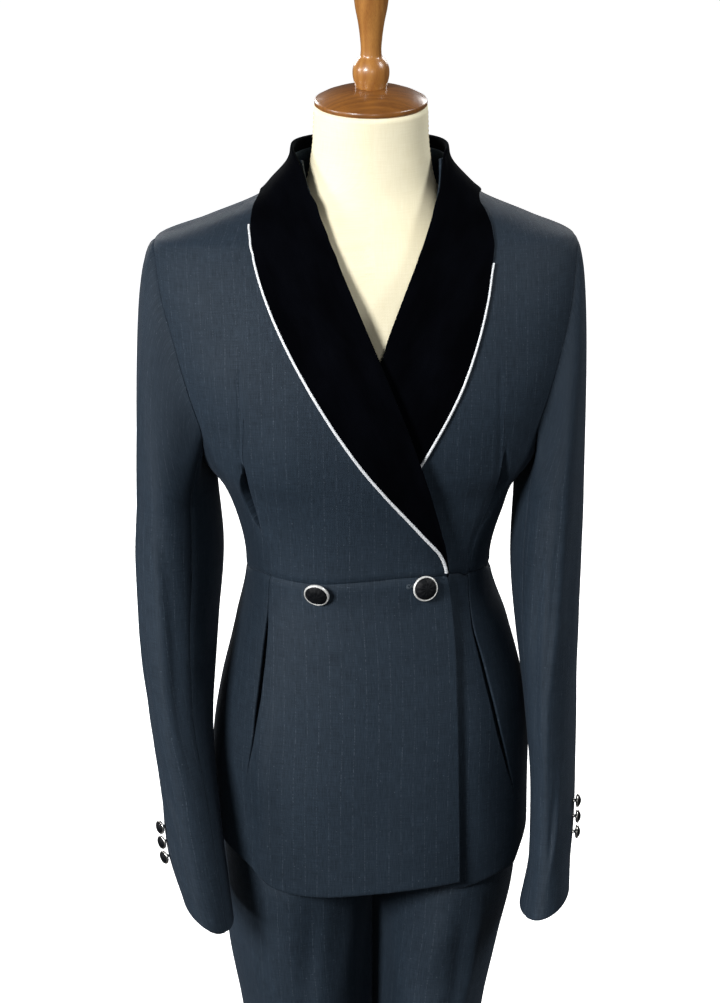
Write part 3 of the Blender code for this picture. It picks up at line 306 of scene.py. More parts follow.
def makeSatin():
    material, tree, shader = newMaterial("silverSatin", 0.34, 0.6, 0.12)
    along, around = (addNode(tree, "ShaderNodeAttribute", attribute_name=name).outputs["Fac"]
                     for name in ("along", "round"))
    turn = calc(tree, "ADD", calc(tree, "DIVIDE", along, satin["twist"]), around)
    wave = calc(tree, "SINE", calc(tree, "MULTIPLY", turn, 2 * math.pi))
    grain = noise(tree, solidPlace(tree), 900.0, 2.0)
    # painted shade: the twist's wave darkens the grooves between the strands; the grain is the cord's own
    # uneven tone
    share = calc(tree, "MULTIPLY_ADD", wave, 0.16, ranged(tree, grain, 0.3, 0.62))
    tone = ranged(tree, share, 0.0, 1.0)
    connect(tree, shader, {
        "Base Color": blendColours(tree, tone, satin["dark"], satin["light"]),
        "Roughness": ranged(tree, grain, 0.3, 0.7, 0.46, 0.26),
        "Normal": bump(tree, share, satin["depth"], 0.7)})
    return material


metal = {"tarnish": 420.0, "scratches": (400.0, 400.0, 5200.0), "depth": 0.00003}


def makeMetal(name, light, dark, roughness, metallic=1.0):
    material, tree, shader = newMaterial(name, roughness, 0.5, metallic)
    where = solidPlace(tree)
    scratches = noise(tree, stretched(tree, where, metal["scratches"]), 1.0, 2.0)
    tarnish = ranged(tree, noise(tree, where, metal["tarnish"], 3.0, 0.6), 0.42, 0.66)
    connect(tree, shader, {
        "Base Color": blendColours(tree, tarnish, light, dark),
        "Roughness": calc(tree, "MULTIPLY_ADD", tarnish, 0.22, roughness),
        "Normal": bump(tree, scratches, metal["depth"], 0.5)})
    return material


lacquer = {"dark": (0.0015, 0.0018, 0.0025), "light": (0.0060, 0.0068, 0.0085), "depth": 0.00008}


def makeEnamel():
    material, tree, shader = newMaterial("blackLacquer", 0.55, 0.14)
    where = solidPlace(tree)
    cloud = noise(tree, where, 260.0, 2.0)
    connect(tree, shader, {
        "Base Color": blendColours(tree, cloud, lacquer["dark"], lacquer["light"]),
        "Roughness": ranged(tree, cloud, 0.3, 0.7, 0.46, 0.62),
        "Normal": bump(tree, noise(tree, where, 1500.0, 2.0), lacquer["depth"], 0.5)})
    return material


thread = {
    "silver": (0.10, 0.13, 0.16), "cover": (0.74, 0.66, 0.46),
    "shade": 0.55,                   # painted shade between the plies: share of that colour left there
    "ply": 5200.0, "depth": 0.00008,
}


def makeThread(name, colour):
    material, tree, shader = newMaterial(name, 0.55, 0.4)
    place = stretched(tree, solidPlace(tree), (1.0, 1.0, 0.35))
    twist = noise(tree, place, thread["ply"], 1.0)
    # painted shade: the thread's colour is darkened where the plies dip, following the same twist noise as
    # the bump
    dark = tuple(value * thread["shade"] for value in colour)
    connect(tree, shader, {
        "Base Color": blendColours(tree, twist, dark, colour),
        "Roughness": ranged(tree, twist, 0.3, 0.7, 0.62, 0.45),
        "Normal": bump(tree, twist, thread["depth"], 0.6)})
    return material


canvas = {
    "light": (0.900, 0.835, 0.620), "dark": (0.810, 0.730, 0.500), "thread": 0.00075,
    "weaveDepth": 0.00008, "slubDepth": 0.0003, "sheen": 0.05,
}


def makeCanvas():
    material, tree, shader = newMaterial("creamCover", 0.85, 0.25)
    cloth = clothPlace(tree)
    rate = 2 * math.pi / canvas["thread"]
    warp, weft = (calc(tree, "SINE", calc(tree, "MULTIPLY", place, rate)) for place in axesOf(tree, cloth))
    weave = calc(tree, "MULTIPLY", warp, weft)
    yarn = noise(tree, stretched(tree, cloth, (900.0, 60.0, 1.0)), 1.0, 2.0)
    cross = noise(tree, stretched(tree, cloth, (50.0, 900.0, 1.0)), 1.0, 2.0)
    cloud = noise(tree, cloth, 11.0, 3.0)
    tone = calc(tree, "ADD", calc(tree, "MULTIPLY", yarn, 0.5), calc(tree, "MULTIPLY", cross, 0.5))
    tone = swayed(tree, tone, cloud, 0.8)
    slubs = bump(tree, tone, canvas["slubDepth"], 0.4)
    share = ranged(tree, tone, 0.25, 0.8)
    connect(tree, shader, {
        "Base Color": blendColours(tree, share, canvas["light"], canvas["dark"]),
        "Roughness": ranged(tree, tone, 0.3, 0.7, 0.80, 0.92),
        "Normal": bump(tree, weave, canvas["weaveDepth"], 0.5, slubs),
        "Sheen Weight": canvas["sheen"]})
    return material


timber = {
    # how the slow figure and the pores are stretched, along z and along x
    "upright": ((9.0, 9.0, 1.1), (1500.0, 1500.0, 45.0)),
    "level": ((2.2, 14.0, 9.0), (45.0, 1500.0, 1500.0)),
    "ringsPerMetre": 95.0, "ringBend": 0.13, "poreDepth": 0.00012, "coat": 0.35,
}


def makeWood(name, pale, deep, run):
    material, tree, shader = newMaterial(name, 0.34, 0.5)
    where = solidPlace(tree)
    figure, fine = timber[run]
    bend = noise(tree, stretched(tree, where, figure), 1.6, 3.0)
    side = axesOf(tree, where)[0 if run == "upright" else 1]
    rings = calc(tree, "MULTIPLY_ADD", bend, timber["ringBend"], side)
    rings = calc(tree, "FRACT", calc(tree, "MULTIPLY", rings, timber["ringsPerMetre"]))
    rings = calc(tree, "ABSOLUTE", calc(tree, "SUBTRACT", rings, 0.5))
    pores = noise(tree, stretched(tree, where, fine), 1.0, 3.0, 0.6)
    cloud = noise(tree, where, 30.0, 2.0)
    tone = calc(tree, "MULTIPLY_ADD", rings, 0.42, calc(tree, "MULTIPLY", pores, 0.55))
    tone = swayed(tree, tone, cloud, 0.5)
    connect(tree, shader, {
        "Base Color": blendColours(tree, ranged(tree, tone, 0.15, 0.72), deep, pale),
        "Roughness": ranged(tree, pores, 0.3, 0.7, 0.42, 0.27),
        "Normal": bump(tree, pores, timber["poreDepth"], 0.45),
        "Coat Weight": timber["coat"], "Coat Roughness": 0.18})
    return material


finishes = {
    "suiting": makeWool(),
    "velvet": makeVelvet(),
    "piping": makeSatin(),
    "rim": makeMetal("satinRim", (0.84, 0.84, 0.82), (0.60, 0.60, 0.58), 0.30, 0.35),
    "silver": makeMetal("polishedSilver", (0.86, 0.85, 0.82), (0.52, 0.50, 0.46), 0.16),
    "button_cap": makeEnamel(),
    "greyThread": makeThread("greyButtonholeThread", thread["silver"]),
    "creamThread": makeThread("creamThread", thread["cover"]),
    "cover": makeCanvas(),
    "wood": makeWood("honeyWood", (0.480, 0.225, 0.055), (0.245, 0.090, 0.018), "upright"),
    "discWood": makeWood("darkHoneyWood", (0.330, 0.130, 0.024), (0.130, 0.045, 0.010), "level"),
}
print("materials made")


# Smooth curves through rows of measures, which never overshoot a row.
def measureTable(columns, rows):
    data = np.array(sorted(rows), dtype=float)
    table = {"key": data[:, 0], "values": {}, "slopes": {}}
    step = np.diff(data[:, 0])
    for place, name in enumerate(columns):
        values = data[:, place]
        rise = np.diff(values) / step
        slopes = np.zeros(len(values))
        slopes[0], slopes[-1] = rise[0], rise[-1]
        for i in range(1, len(values) - 1):
            before, after = rise[i - 1], rise[i]
            if before * after > 0:
                mean = (before * step[i] + after * step[i - 1]) / (step[i] + step[i - 1])
                limit = 3 * min(abs(before), abs(after))
                slopes[i] = max(-limit, min(limit, mean))
        table["values"][name] = values
        table["slopes"][name] = slopes
    return table


def sideTables(columns, right, left):
    return {"R": measureTable(columns, right), "L": measureTable(columns, left)}


def hermite(p, start, end, leave, arrive):
    # from start to end, with the slopes that it leaves and arrives with
    return ((2 * p**3 - 3 * p**2 + 1) * start + (p**3 - 2 * p**2 + p) * leave
            + (3 * p**2 - 2 * p**3) * end + (p**3 - p**2) * arrive)


def at(table, name, where):
    key = table["key"]
    where = np.clip(np.asarray(where, dtype=float), key[0], key[-1])
    i = np.clip(np.searchsorted(key, where, side="right") - 1, 0, len(key) - 2)
    step = key[i + 1] - key[i]
    values, slopes = table["values"][name], table["slopes"][name]
    return hermite((where - key[i]) / step, values[i], values[i + 1],
                   step * slopes[i], step * slopes[i + 1])


# The jacket's ovals at each height, then its seams and edges. Where a table has two lists, the
# first is the wearer's right.
bodyTable = measureTable(("z", "centre", "halfWidth", "front", "back", "power"), [
    (0.740, 0.000, 0.1440, 0.116, 0.122, 2.35), (0.790, 0.000, 0.1475, 0.118, 0.125, 2.35),
    (0.850, 0.000, 0.1500, 0.120, 0.128, 2.35), (0.900, 0.000, 0.1500, 0.120, 0.127, 2.35),
    (0.970, 0.002, 0.1440, 0.117, 0.118, 2.35), (1.034, 0.001, 0.1280, 0.110, 0.098, 2.35),
    (1.092, -0.002, 0.1145, 0.103, 0.080, 2.35), (1.150, -0.002, 0.1255, 0.108, 0.083, 2.35),
    (1.176, -0.003, 0.1360, 0.113, 0.088, 2.35), (1.200, -0.003, 0.1540, 0.118, 0.092, 2.40),
    (1.236, -0.004, 0.1680, 0.122, 0.098, 2.40), (1.281, -0.004, 0.1840, 0.119, 0.103, 2.40),
    (1.320, -0.004, 0.1920, 0.110, 0.105, 2.40), (1.358, -0.005, 0.1960, 0.097, 0.101, 2.40),
    (1.385, -0.005, 0.1955, 0.083, 0.094, 2.30), (1.404, -0.005, 0.1910, 0.072, 0.084, 2.10),
    (1.420, -0.002, 0.1535, 0.064, 0.076, 2.00), (1.4415, 0.000, 0.1030, 0.054, 0.067, 2.00),
    (1.457, -0.001, 0.0860, 0.045, 0.062, 2.10), (1.470, -0.001, 0.0740, 0.038, 0.060, 2.10),
    (1.488, -0.001, 0.0650, 0.030, 0.0585, 2.10),
])
waistTable = measureTable(("turn", "z"), [
    (-180, 1.0900), (-120, 1.0880), (-90, 1.0890), (-66, 1.0985), (-52, 1.1000), (-28, 1.1000),
    (-1, 1.1045), (12, 1.1070), (28, 1.1050), (45, 1.1005), (59, 1.0975), (74, 1.0940), (90, 1.0865),
    (120, 1.0880), (180, 1.0900),
])
hemTable = sideTables(("turn", "z"), [
    (-180, 0.842), (-120, 0.841), (-90, 0.838), (-64, 0.828), (-49, 0.816), (-36, 0.800), (-20, 0.797),
    (12, 0.8045), (29, 0.8065), (45, 0.8065),
], [
    (-45, 0.808), (-20, 0.806), (8, 0.805), (22, 0.801), (32, 0.7965), (42, 0.7995), (52, 0.8035),
    (62, 0.8045), (69, 0.820), (79, 0.833), (90, 0.838), (120, 0.841), (180, 0.842),
])
armholeTable = measureTable(("z", "frontTurn", "backTurn"), [
    (1.1970, 90.0, 93.5), (1.2080, 73.0, 107.0), (1.2250, 65.5, 114.0), (1.2500, 62.5, 118.0),
    (1.2720, 62.6, 119.5), (1.2920, 63.5, 119.5), (1.3190, 65.7, 117.5), (1.3430, 68.6, 114.5),
    (1.3650, 72.7, 110.5), (1.3810, 76.4, 106.0), (1.3960, 82.0, 99.5), (1.4040, 90.0, 91.0),
])
frontEdgeTable = sideTables(("z", "x"), [
    (0.780, 0.0805), (0.984, 0.0755), (1.031, 0.0745), (1.081, 0.0700), (1.102, 0.0660),
    (1.121, 0.0642), (1.139, 0.0611), (1.161, 0.0555), (1.185, 0.0494), (1.218, 0.0393),
    (1.241, 0.0314), (1.264, 0.0229), (1.290, 0.0125), (1.317, 0.0011), (1.343, -0.0102),
    (1.369, -0.0215), (1.394, -0.0323), (1.406, -0.0372), (1.417, -0.0416), (1.426, -0.0451),
    (1.435, -0.0485), (1.448, -0.0532), (1.462, -0.0585), (1.488, -0.0645),
], [
    (0.780, -0.0820), (0.984, -0.0775), (1.081, -0.0740), (1.102, -0.0710), (1.121, -0.0700),
    (1.139, -0.0660), (1.161, -0.0585), (1.185, -0.0500), (1.218, -0.0380), (1.264, -0.0185),
    (1.317, 0.0046), (1.345, 0.0144), (1.372, 0.0262), (1.396, 0.0373), (1.407, 0.0422),
    (1.417, 0.0461), (1.426, 0.0492), (1.435, 0.0521), (1.448, 0.0565), (1.460, 0.0595),
    (1.488, 0.0625),
])
dartTable = sideTables(("z", "x"), [
    (1.085, -0.0962), (1.119, -0.0968), (1.134, -0.0995), (1.147, -0.1045), (1.164, -0.1084),
    (1.182, -0.1129), (1.204, -0.1175), (1.224, -0.1205), (1.262, -0.1195), (1.300, -0.1190),
], [
    (1.085, 0.0912), (1.119, 0.0930), (1.147, 0.0995), (1.164, 0.1040), (1.182, 0.1085),
    (1.204, 0.1135), (1.224, 0.1165), (1.262, 0.1160), (1.300, 0.1155),
])
pleatTable = sideTables(("z", "x", "open"), [
    (0.780, -0.1215, 0.0003), (0.905, -0.1190, 0.0003), (0.944, -0.1134, 0.0018),
    (0.984, -0.1080, 0.0036), (1.015, -0.1040, 0.0036), (1.046, -0.1006, 0.0026),
    (1.072, -0.0982, 0.0003), (1.102, -0.0962, 0.0003),
], [
    (0.780, 0.1320, 0.0003), (0.882, 0.1325, 0.0003), (0.918, 0.1255, 0.0022), (0.958, 0.1155, 0.0038),
    (0.992, 0.1082, 0.0038), (1.027, 0.1006, 0.0028), (1.052, 0.0945, 0.0014), (1.072, 0.0924, 0.0003),
    (1.102, 0.0912, 0.0003),
])
backSeamTable = measureTable(("z", "turn"), [
    (0.780, 141.0), (0.900, 141.0), (1.034, 139.0), (1.092, 136.0), (1.176, 134.0), (1.236, 131.0),
    (1.275, 125.0), (1.292, 122.0),
])
shawlPower = 2 / 2.4              # the body's oval, so that an edge crosses the middle smoothly


def bent(turn, power):
    return np.sign(turn) * np.abs(turn) ** power


def collarTable(rows):
    # rows of station, innerTurn, innerZ, outerTurn, outerZ
    rows = [(station, bent(innerTurn, shawlPower), innerZ, bent(outerTurn, shawlPower), outerZ)
            for station, innerTurn, innerZ, outerTurn, outerZ in rows]
    return measureTable(("station", "innerTurn", "innerZ", "outerTurn", "outerZ"), rows)


def collarEdge(side, edge, stations):
    table = shawlTable[side]
    turn = bent(at(table, edge + "Turn", stations), 1 / shawlPower)
    return turn, at(table, edge + "Z", stations)


shawlTable = {"R": collarTable([
    (0, 32.60, 1.1040, 32.20, 1.1040), (0.5, 31.80, 1.1125, 31.35, 1.1122),
    (1, 30.61, 1.1210, 29.48, 1.1208), (1.5, 29.11, 1.1297, 26.55, 1.1299),
    (2, 27.39, 1.1391, 22.26, 1.1392), (2.5, 24.93, 1.1498, 17.53, 1.1495),
    (3, 22.88, 1.1611, 13.53, 1.1598), (3.5, 20.85, 1.1723, 10.47, 1.1684),
    (4, 17.82, 1.1850, 7.00, 1.1783), (4.5, 14.26, 1.2002, 2.68, 1.1922),
    (5, 11.69, 1.2180, -0.33, 1.2092), (5.5, 8.92, 1.2397, -3.68, 1.2300),
    (6, 5.91, 1.2640, -7.61, 1.2530), (6.5, 2.94, 1.2918, -11.62, 1.2784),
    (7, 0.74, 1.3170, -15.23, 1.3019), (7.5, -0.10, 1.3317, -17.48, 1.3170),
    (8, -0.79, 1.3430, -19.24, 1.3298), (8.5, -1.78, 1.3561, -21.15, 1.3453),
    (9, -3.01, 1.3690, -23.10, 1.3606), (9.5, -4.54, 1.3817, -25.15, 1.3743),
    (10, -6.56, 1.3940, -27.28, 1.3865), (10.5, -9.11, 1.4059, -29.46, 1.3964),
    (11, -13.89, 1.4169, -31.75, 1.4048), (11.5, -18.26, 1.4256, -36.32, 1.4118),
    (12, -24.53, 1.4349, -42.60, 1.4180), (12.5, -33.79, 1.4484, -49.74, 1.4246),
    (13, -44.55, 1.4623, -59.12, 1.4310), (13.5, -58.80, 1.4742, -70.49, 1.4368),
    (14, -76.00, 1.4830, -81.21, 1.4414), (15, -102.00, 1.4865, -101.00, 1.4440),
    (16, -130.00, 1.4870, -128.00, 1.4410), (17, -156.00, 1.4875, -155.00, 1.4385),
    (18, -179.80, 1.4880, -179.80, 1.4375),
]), "L": collarTable([
    (0, -33.00, 1.1040, -32.60, 1.1040), (1, -31.20, 1.1210, -29.20, 1.1205),
    (2, -28.00, 1.1390, -21.80, 1.1380), (3, -23.00, 1.1610, -11.50, 1.1585),
    (4, -16.90, 1.1850, -1.00, 1.1800), (5, -9.60, 1.2180, 8.60, 1.2060),
    (5.5, -6.34, 1.2398, 13.15, 1.2264), (6, -3.40, 1.2640, 16.54, 1.2499),
    (6.5, -0.75, 1.2916, 19.45, 1.2762), (7, 1.40, 1.3170, 22.13, 1.3006),
    (7.5, 2.43, 1.3326, 23.78, 1.3168), (8, 3.54, 1.3450, 25.04, 1.3305),
    (8.5, 4.91, 1.3587, 26.42, 1.3457), (9, 6.49, 1.3720, 27.69, 1.3604),
    (9.5, 8.43, 1.3844, 29.05, 1.3740), (10, 10.90, 1.3960, 30.66, 1.3862),
    (10.5, 13.69, 1.4067, 32.88, 1.3963), (11, 17.37, 1.4167, 35.31, 1.4051),
    (11.5, 21.05, 1.4255, 38.70, 1.4117), (12, 26.69, 1.4348, 43.67, 1.4185),
    (12.5, 35.77, 1.4470, 49.31, 1.4260), (13, 45.88, 1.4600, 56.92, 1.4331),
    (13.5, 58.20, 1.4720, 64.92, 1.4393), (14, 72.00, 1.4830, 78.00, 1.4440),
    (15, 102.00, 1.4865, 101.00, 1.4440), (16, 130.00, 1.4870, 128.00, 1.4410),
    (17, 156.00, 1.4875, 155.00, 1.4385), (18, 179.80, 1.4880, 179.80, 1.4375),
])}
sleeveTable = sideTables(("z", "centreX", "centreY", "halfX", "halfY", "turn", "rise"), [
    (0.782, -0.1570, -0.093, 0.0240, 0.0569, 0.0, 0.55),
    (0.834, -0.1672, -0.078, 0.0272, 0.0601, -1.0, 0.20),
    (0.900, -0.1737, -0.063, 0.0260, 0.0635, -4.0, 0.00),
    (0.973, -0.1785, -0.047, 0.0266, 0.0682, -12.0, 0.00),
    (1.040, -0.1785, -0.032, 0.0305, 0.0728, -16.0, 0.00),
    (1.111, -0.1770, -0.016, 0.0350, 0.0761, -17.0, 0.00),
    (1.165, -0.1785, -0.006, 0.0329, 0.0774, -14.0, 0.00),
], [
    (0.786, 0.1595, -0.093, 0.0235, 0.0570, 8.0, 0.28),
    (0.830, 0.1657, -0.080, 0.0198, 0.0600, 10.0, 0.10),
    (0.900, 0.1686, -0.066, 0.0204, 0.0630, 12.0, 0.00),
    (0.966, 0.1672, -0.052, 0.0233, 0.0660, 11.0, 0.00),
    (1.040, 0.1635, -0.036, 0.0295, 0.0695, 6.0, 0.00),
    (1.105, 0.1625, -0.020, 0.0328, 0.0725, 2.0, 0.00),
    (1.165, 0.1650, -0.008, 0.0315, 0.0750, 0.0, 0.00),
])
trouserTable = measureTable(("z", "right", "left", "front", "back"), [
    (0.090, 0.1090, 0.1010, 0.0890, 0.0920), (0.250, 0.1080, 0.1000, 0.0890, 0.0910),
    (0.400, 0.1090, 0.1010, 0.0900, 0.0920), (0.520, 0.1130, 0.1050, 0.0930, 0.0950),
    (0.637, 0.1240, 0.1090, 0.0960, 0.1010), (0.714, 0.1370, 0.1240, 0.0960, 0.1060),
    (0.772, 0.1405, 0.1370, 0.0955, 0.1110), (0.800, 0.1410, 0.1400, 0.0955, 0.1140),
    (0.850, 0.1415, 0.1410, 0.1010, 0.1170), (0.900, 0.1400, 0.1405, 0.1065, 0.1165),
    (0.970, 0.1310, 0.1330, 0.1035, 0.1060), (1.034, 0.1150, 0.1165, 0.0960, 0.0870),
    (1.085, 0.1060, 0.1030, 0.0905, 0.0710), (1.122, 0.1060, 0.1030, 0.0910, 0.0700),
])
torsoTable = measureTable(("z", "halfWidth", "front", "back", "power"), [
    (0.868, 0.112, 0.082, 0.090, 2.2), (0.880, 0.122, 0.092, 0.100, 2.2),
    (0.930, 0.126, 0.096, 0.104, 2.2), (1.034, 0.105, 0.086, 0.077, 2.2),
    (1.095, 0.096, 0.081, 0.060, 2.2), (1.150, 0.106, 0.088, 0.066, 2.2),
    (1.200, 0.128, 0.101, 0.076, 2.2), (1.240, 0.137, 0.107, 0.083, 2.2),
    (1.300, 0.148, 0.101, 0.091, 2.2), (1.350, 0.158, 0.088, 0.090, 2.2),
    (1.385, 0.150, 0.076, 0.080, 2.2), (1.410, 0.110, 0.065, 0.069, 2.1),
    (1.430, 0.076, 0.057, 0.057, 2.0), (1.450, 0.061, 0.050, 0.052, 2.0),
    (1.480, 0.054, 0.0485, 0.051, 2.0), (1.5245, 0.0515, 0.0510, 0.0520, 2.0),
])

jacketSizes = {
    "cloth": 0.0015,
    "velvet": 0.0016,
    "rollInset": 0.0012,              # how far the front's edge lies inside the collar's roll
    "seamGap": 0.00005,
    "collarLift": 0.0014,             # space below the collar and piping
    "underlapDepth": 0.0070,          # how far the left front lies below the right
    "underlapRamp": (0.004, 0.066),
    "underlapTop": (1.320, 1.372),
    "sideSeamTurn": 93.0,
    "armholeBottom": 1.197,
    "shoulderTip": 1.404,
    "sideBackTop": 1.290,
    "dartTip": 1.262,
    "dartFade": 1.30,                 # height above which the dart's seam dies out
    "backRadius": 0.12,               # of the body at its centre back seam
    "pleatTip": {"R": 0.905, "L": 0.882},
    "rowStep": 0.0040,
    "fineAbove": 1.380,               # the shoulders have rows twice as close
    "edgeColumn": 0.38,               # share of a column between an edge and its extra column
    "hemExtra": 0.0016,               # a turned-up hem is thicker by this
    "hemDepth": 0.035,
    "seamDip": 0.0013,                # how far cloth is drawn in along a seam
    "seamWidth": 0.0021,
    "ripple": 0.00045,                # unevenness of pressed cloth
    "rippleTop": (1.475, 1.440),
    "mapRadius": 0.13,                # makes the turn a length for the ripples
}
bodiceHeights = np.array([
    1.090, 1.120, 1.150, 1.178, 1.1965, 1.206, 1.222, 1.240, 1.262, 1.286,
    1.318, 1.348, 1.374, 1.390, 1.399, 1.404, 1.420, 1.432, 1.442, 1.452,
    1.464, 1.478])

# Creases: points (across, along) from the top down, half width, how far it stands out, and lean,
# from -1 to 1, towards the side whose flank is steeper (1 is the wearer's left).
frontCreases = [
    ([(0.116, 1.215), (0.106, 1.178), (0.099, 1.148)], 0.0075, 0.0020, 0.0),
    ([(-0.101, 0.985), (-0.1015, 0.900), (-0.1030, 0.795)], 0.0110, 0.0042, 0.35),
    ([(-0.116, 0.905), (-0.1200, 0.800)], 0.0120, -0.0030, 0.0),
    ([(0.096, 0.990), (0.099, 0.900), (0.1040, 0.810)], 0.0140, 0.0026, -0.3),
    ([(-0.060, 1.080), (-0.068, 1.000), (-0.066, 0.900)], 0.0240, -0.0016, 0.0),
    ([(0.020, 1.060), (0.022, 0.950), (0.014, 0.840)], 0.0300, -0.0014, 0.0),
    ([(-0.070, 1.300), (-0.078, 1.230), (-0.076, 1.150)], 0.0200, 0.0014, 0.0),
    ([(0.062, 1.290), (0.070, 1.220), (0.069, 1.140)], 0.0180, -0.0014, 0.0),
    ([(-0.120, 1.395), (-0.126, 1.350), (-0.142, 1.300)], 0.0150, -0.0016, 0.0),
    ([(0.120, 1.395), (0.128, 1.345), (0.140, 1.300)], 0.0150, -0.0016, 0.0),
]
backCreases = [
    ([(-0.090, 1.060), (-0.1080, 0.850)], 0.0160, 0.0045, 0.25),
    ([(0.092, 1.055), (0.1120, 0.850)], 0.0150, 0.0040, -0.25),
    ([(-0.045, 1.050), (-0.0600, 0.850)], 0.0170, -0.0035, 0.0),
    ([(0.048, 1.045), (0.0600, 0.850)], 0.0180, -0.0040, 0.0),
    ([(-0.118, 1.240), (-0.094, 1.165)], 0.0085, -0.0032, 0.3),
    ([(0.121, 1.246), (0.097, 1.170)], 0.0090, -0.0034, -0.3),
    ([(-0.030, 1.140), (0.000, 1.128), (0.034, 1.136)], 0.0080, -0.0016, 0.0),
    ([(-0.110, 1.390), (-0.121, 1.300)], 0.0160, -0.0022, 0.0),
    ([(0.112, 1.390), (0.122, 1.305)], 0.0160, -0.0022, 0.0),
]
# Across is the turn round the sleeve in radians times 0.06: 0 outside, 0.094 in front.
sleeveCreases = {
    "R": [
        ([(0.050, 1.245), (0.044, 1.172), (0.0455, 1.119), (0.0450, 1.046), (0.0410, 1.000),
          (0.0380, 0.954), (0.0400, 0.927)], 0.0055, 0.0034, 0.30),
        ([(0.0395, 0.950), (0.0385, 0.900), (0.054, 0.830), (0.060, 0.800)], 0.0060, 0.0026, 0.30),
        ([(0.050, 0.925), (0.060, 0.895), (0.086, 0.835)], 0.0060, 0.0024, 0.30),
        ([(0.066, 0.905), (0.080, 0.850), (0.084, 0.810)], 0.0060, -0.0022, 0.0),
        ([(0.089, 1.165), (0.106, 1.120), (0.120, 1.048), (0.119, 0.990), (0.124, 0.915)],
         0.0120, -0.0040, -0.30),
        ([(0.072, 1.200), (0.078, 1.120), (0.082, 1.040), (0.078, 0.960)], 0.0110, -0.0018, 0.0),
        ([(0.010, 1.290), (0.018, 1.200), (0.016, 1.090)], 0.0180, 0.0014, 0.0),
        ([(-0.040, 1.060), (-0.052, 0.990), (-0.030, 0.920)], 0.0120, -0.0030, 0.2),
        ([(-0.030, 1.250), (-0.046, 1.150)], 0.0150, -0.0024, 0.0),
        ([(-0.092, 1.120), (-0.080, 1.060), (-0.060, 1.030)], 0.0090, -0.0030, 0.3),
        ([(-0.088, 1.050), (-0.074, 1.000), (-0.050, 0.975)], 0.0080, -0.0022, 0.3),
    ],
    "L": [
        ([(0.080, 1.230), (0.0763, 1.120), (0.0764, 1.060), (0.086, 0.990), (0.090, 0.900)],
         0.0090, 0.0026, 0.35),
        ([(0.103, 1.175), (0.112, 1.090), (0.118, 0.990), (0.108, 0.880)], 0.0120, -0.0040, -0.30),
        ([(0.044, 1.200), (0.050, 1.090), (0.046, 0.990)], 0.0150, -0.0016, 0.0),
        ([(0.056, 0.930), (0.066, 0.870), (0.088, 0.815)], 0.0065, 0.0022, 0.30),
        ([(0.072, 0.900), (0.086, 0.840)], 0.0060, -0.0020, 0.0),
        ([(0.008, 1.280), (0.014, 1.180), (0.012, 1.060)], 0.0180, 0.0014, 0.0),
        ([(-0.038, 1.070), (-0.050, 1.000), (-0.032, 0.930)], 0.0120, -0.0028, 0.2),
        ([(-0.028, 1.245), (-0.044, 1.150)], 0.0150, -0.0022, 0.0),
        ([(-0.090, 1.110), (-0.076, 1.050), (-0.058, 1.024)], 0.0090, -0.0028, 0.3),
    ],
}
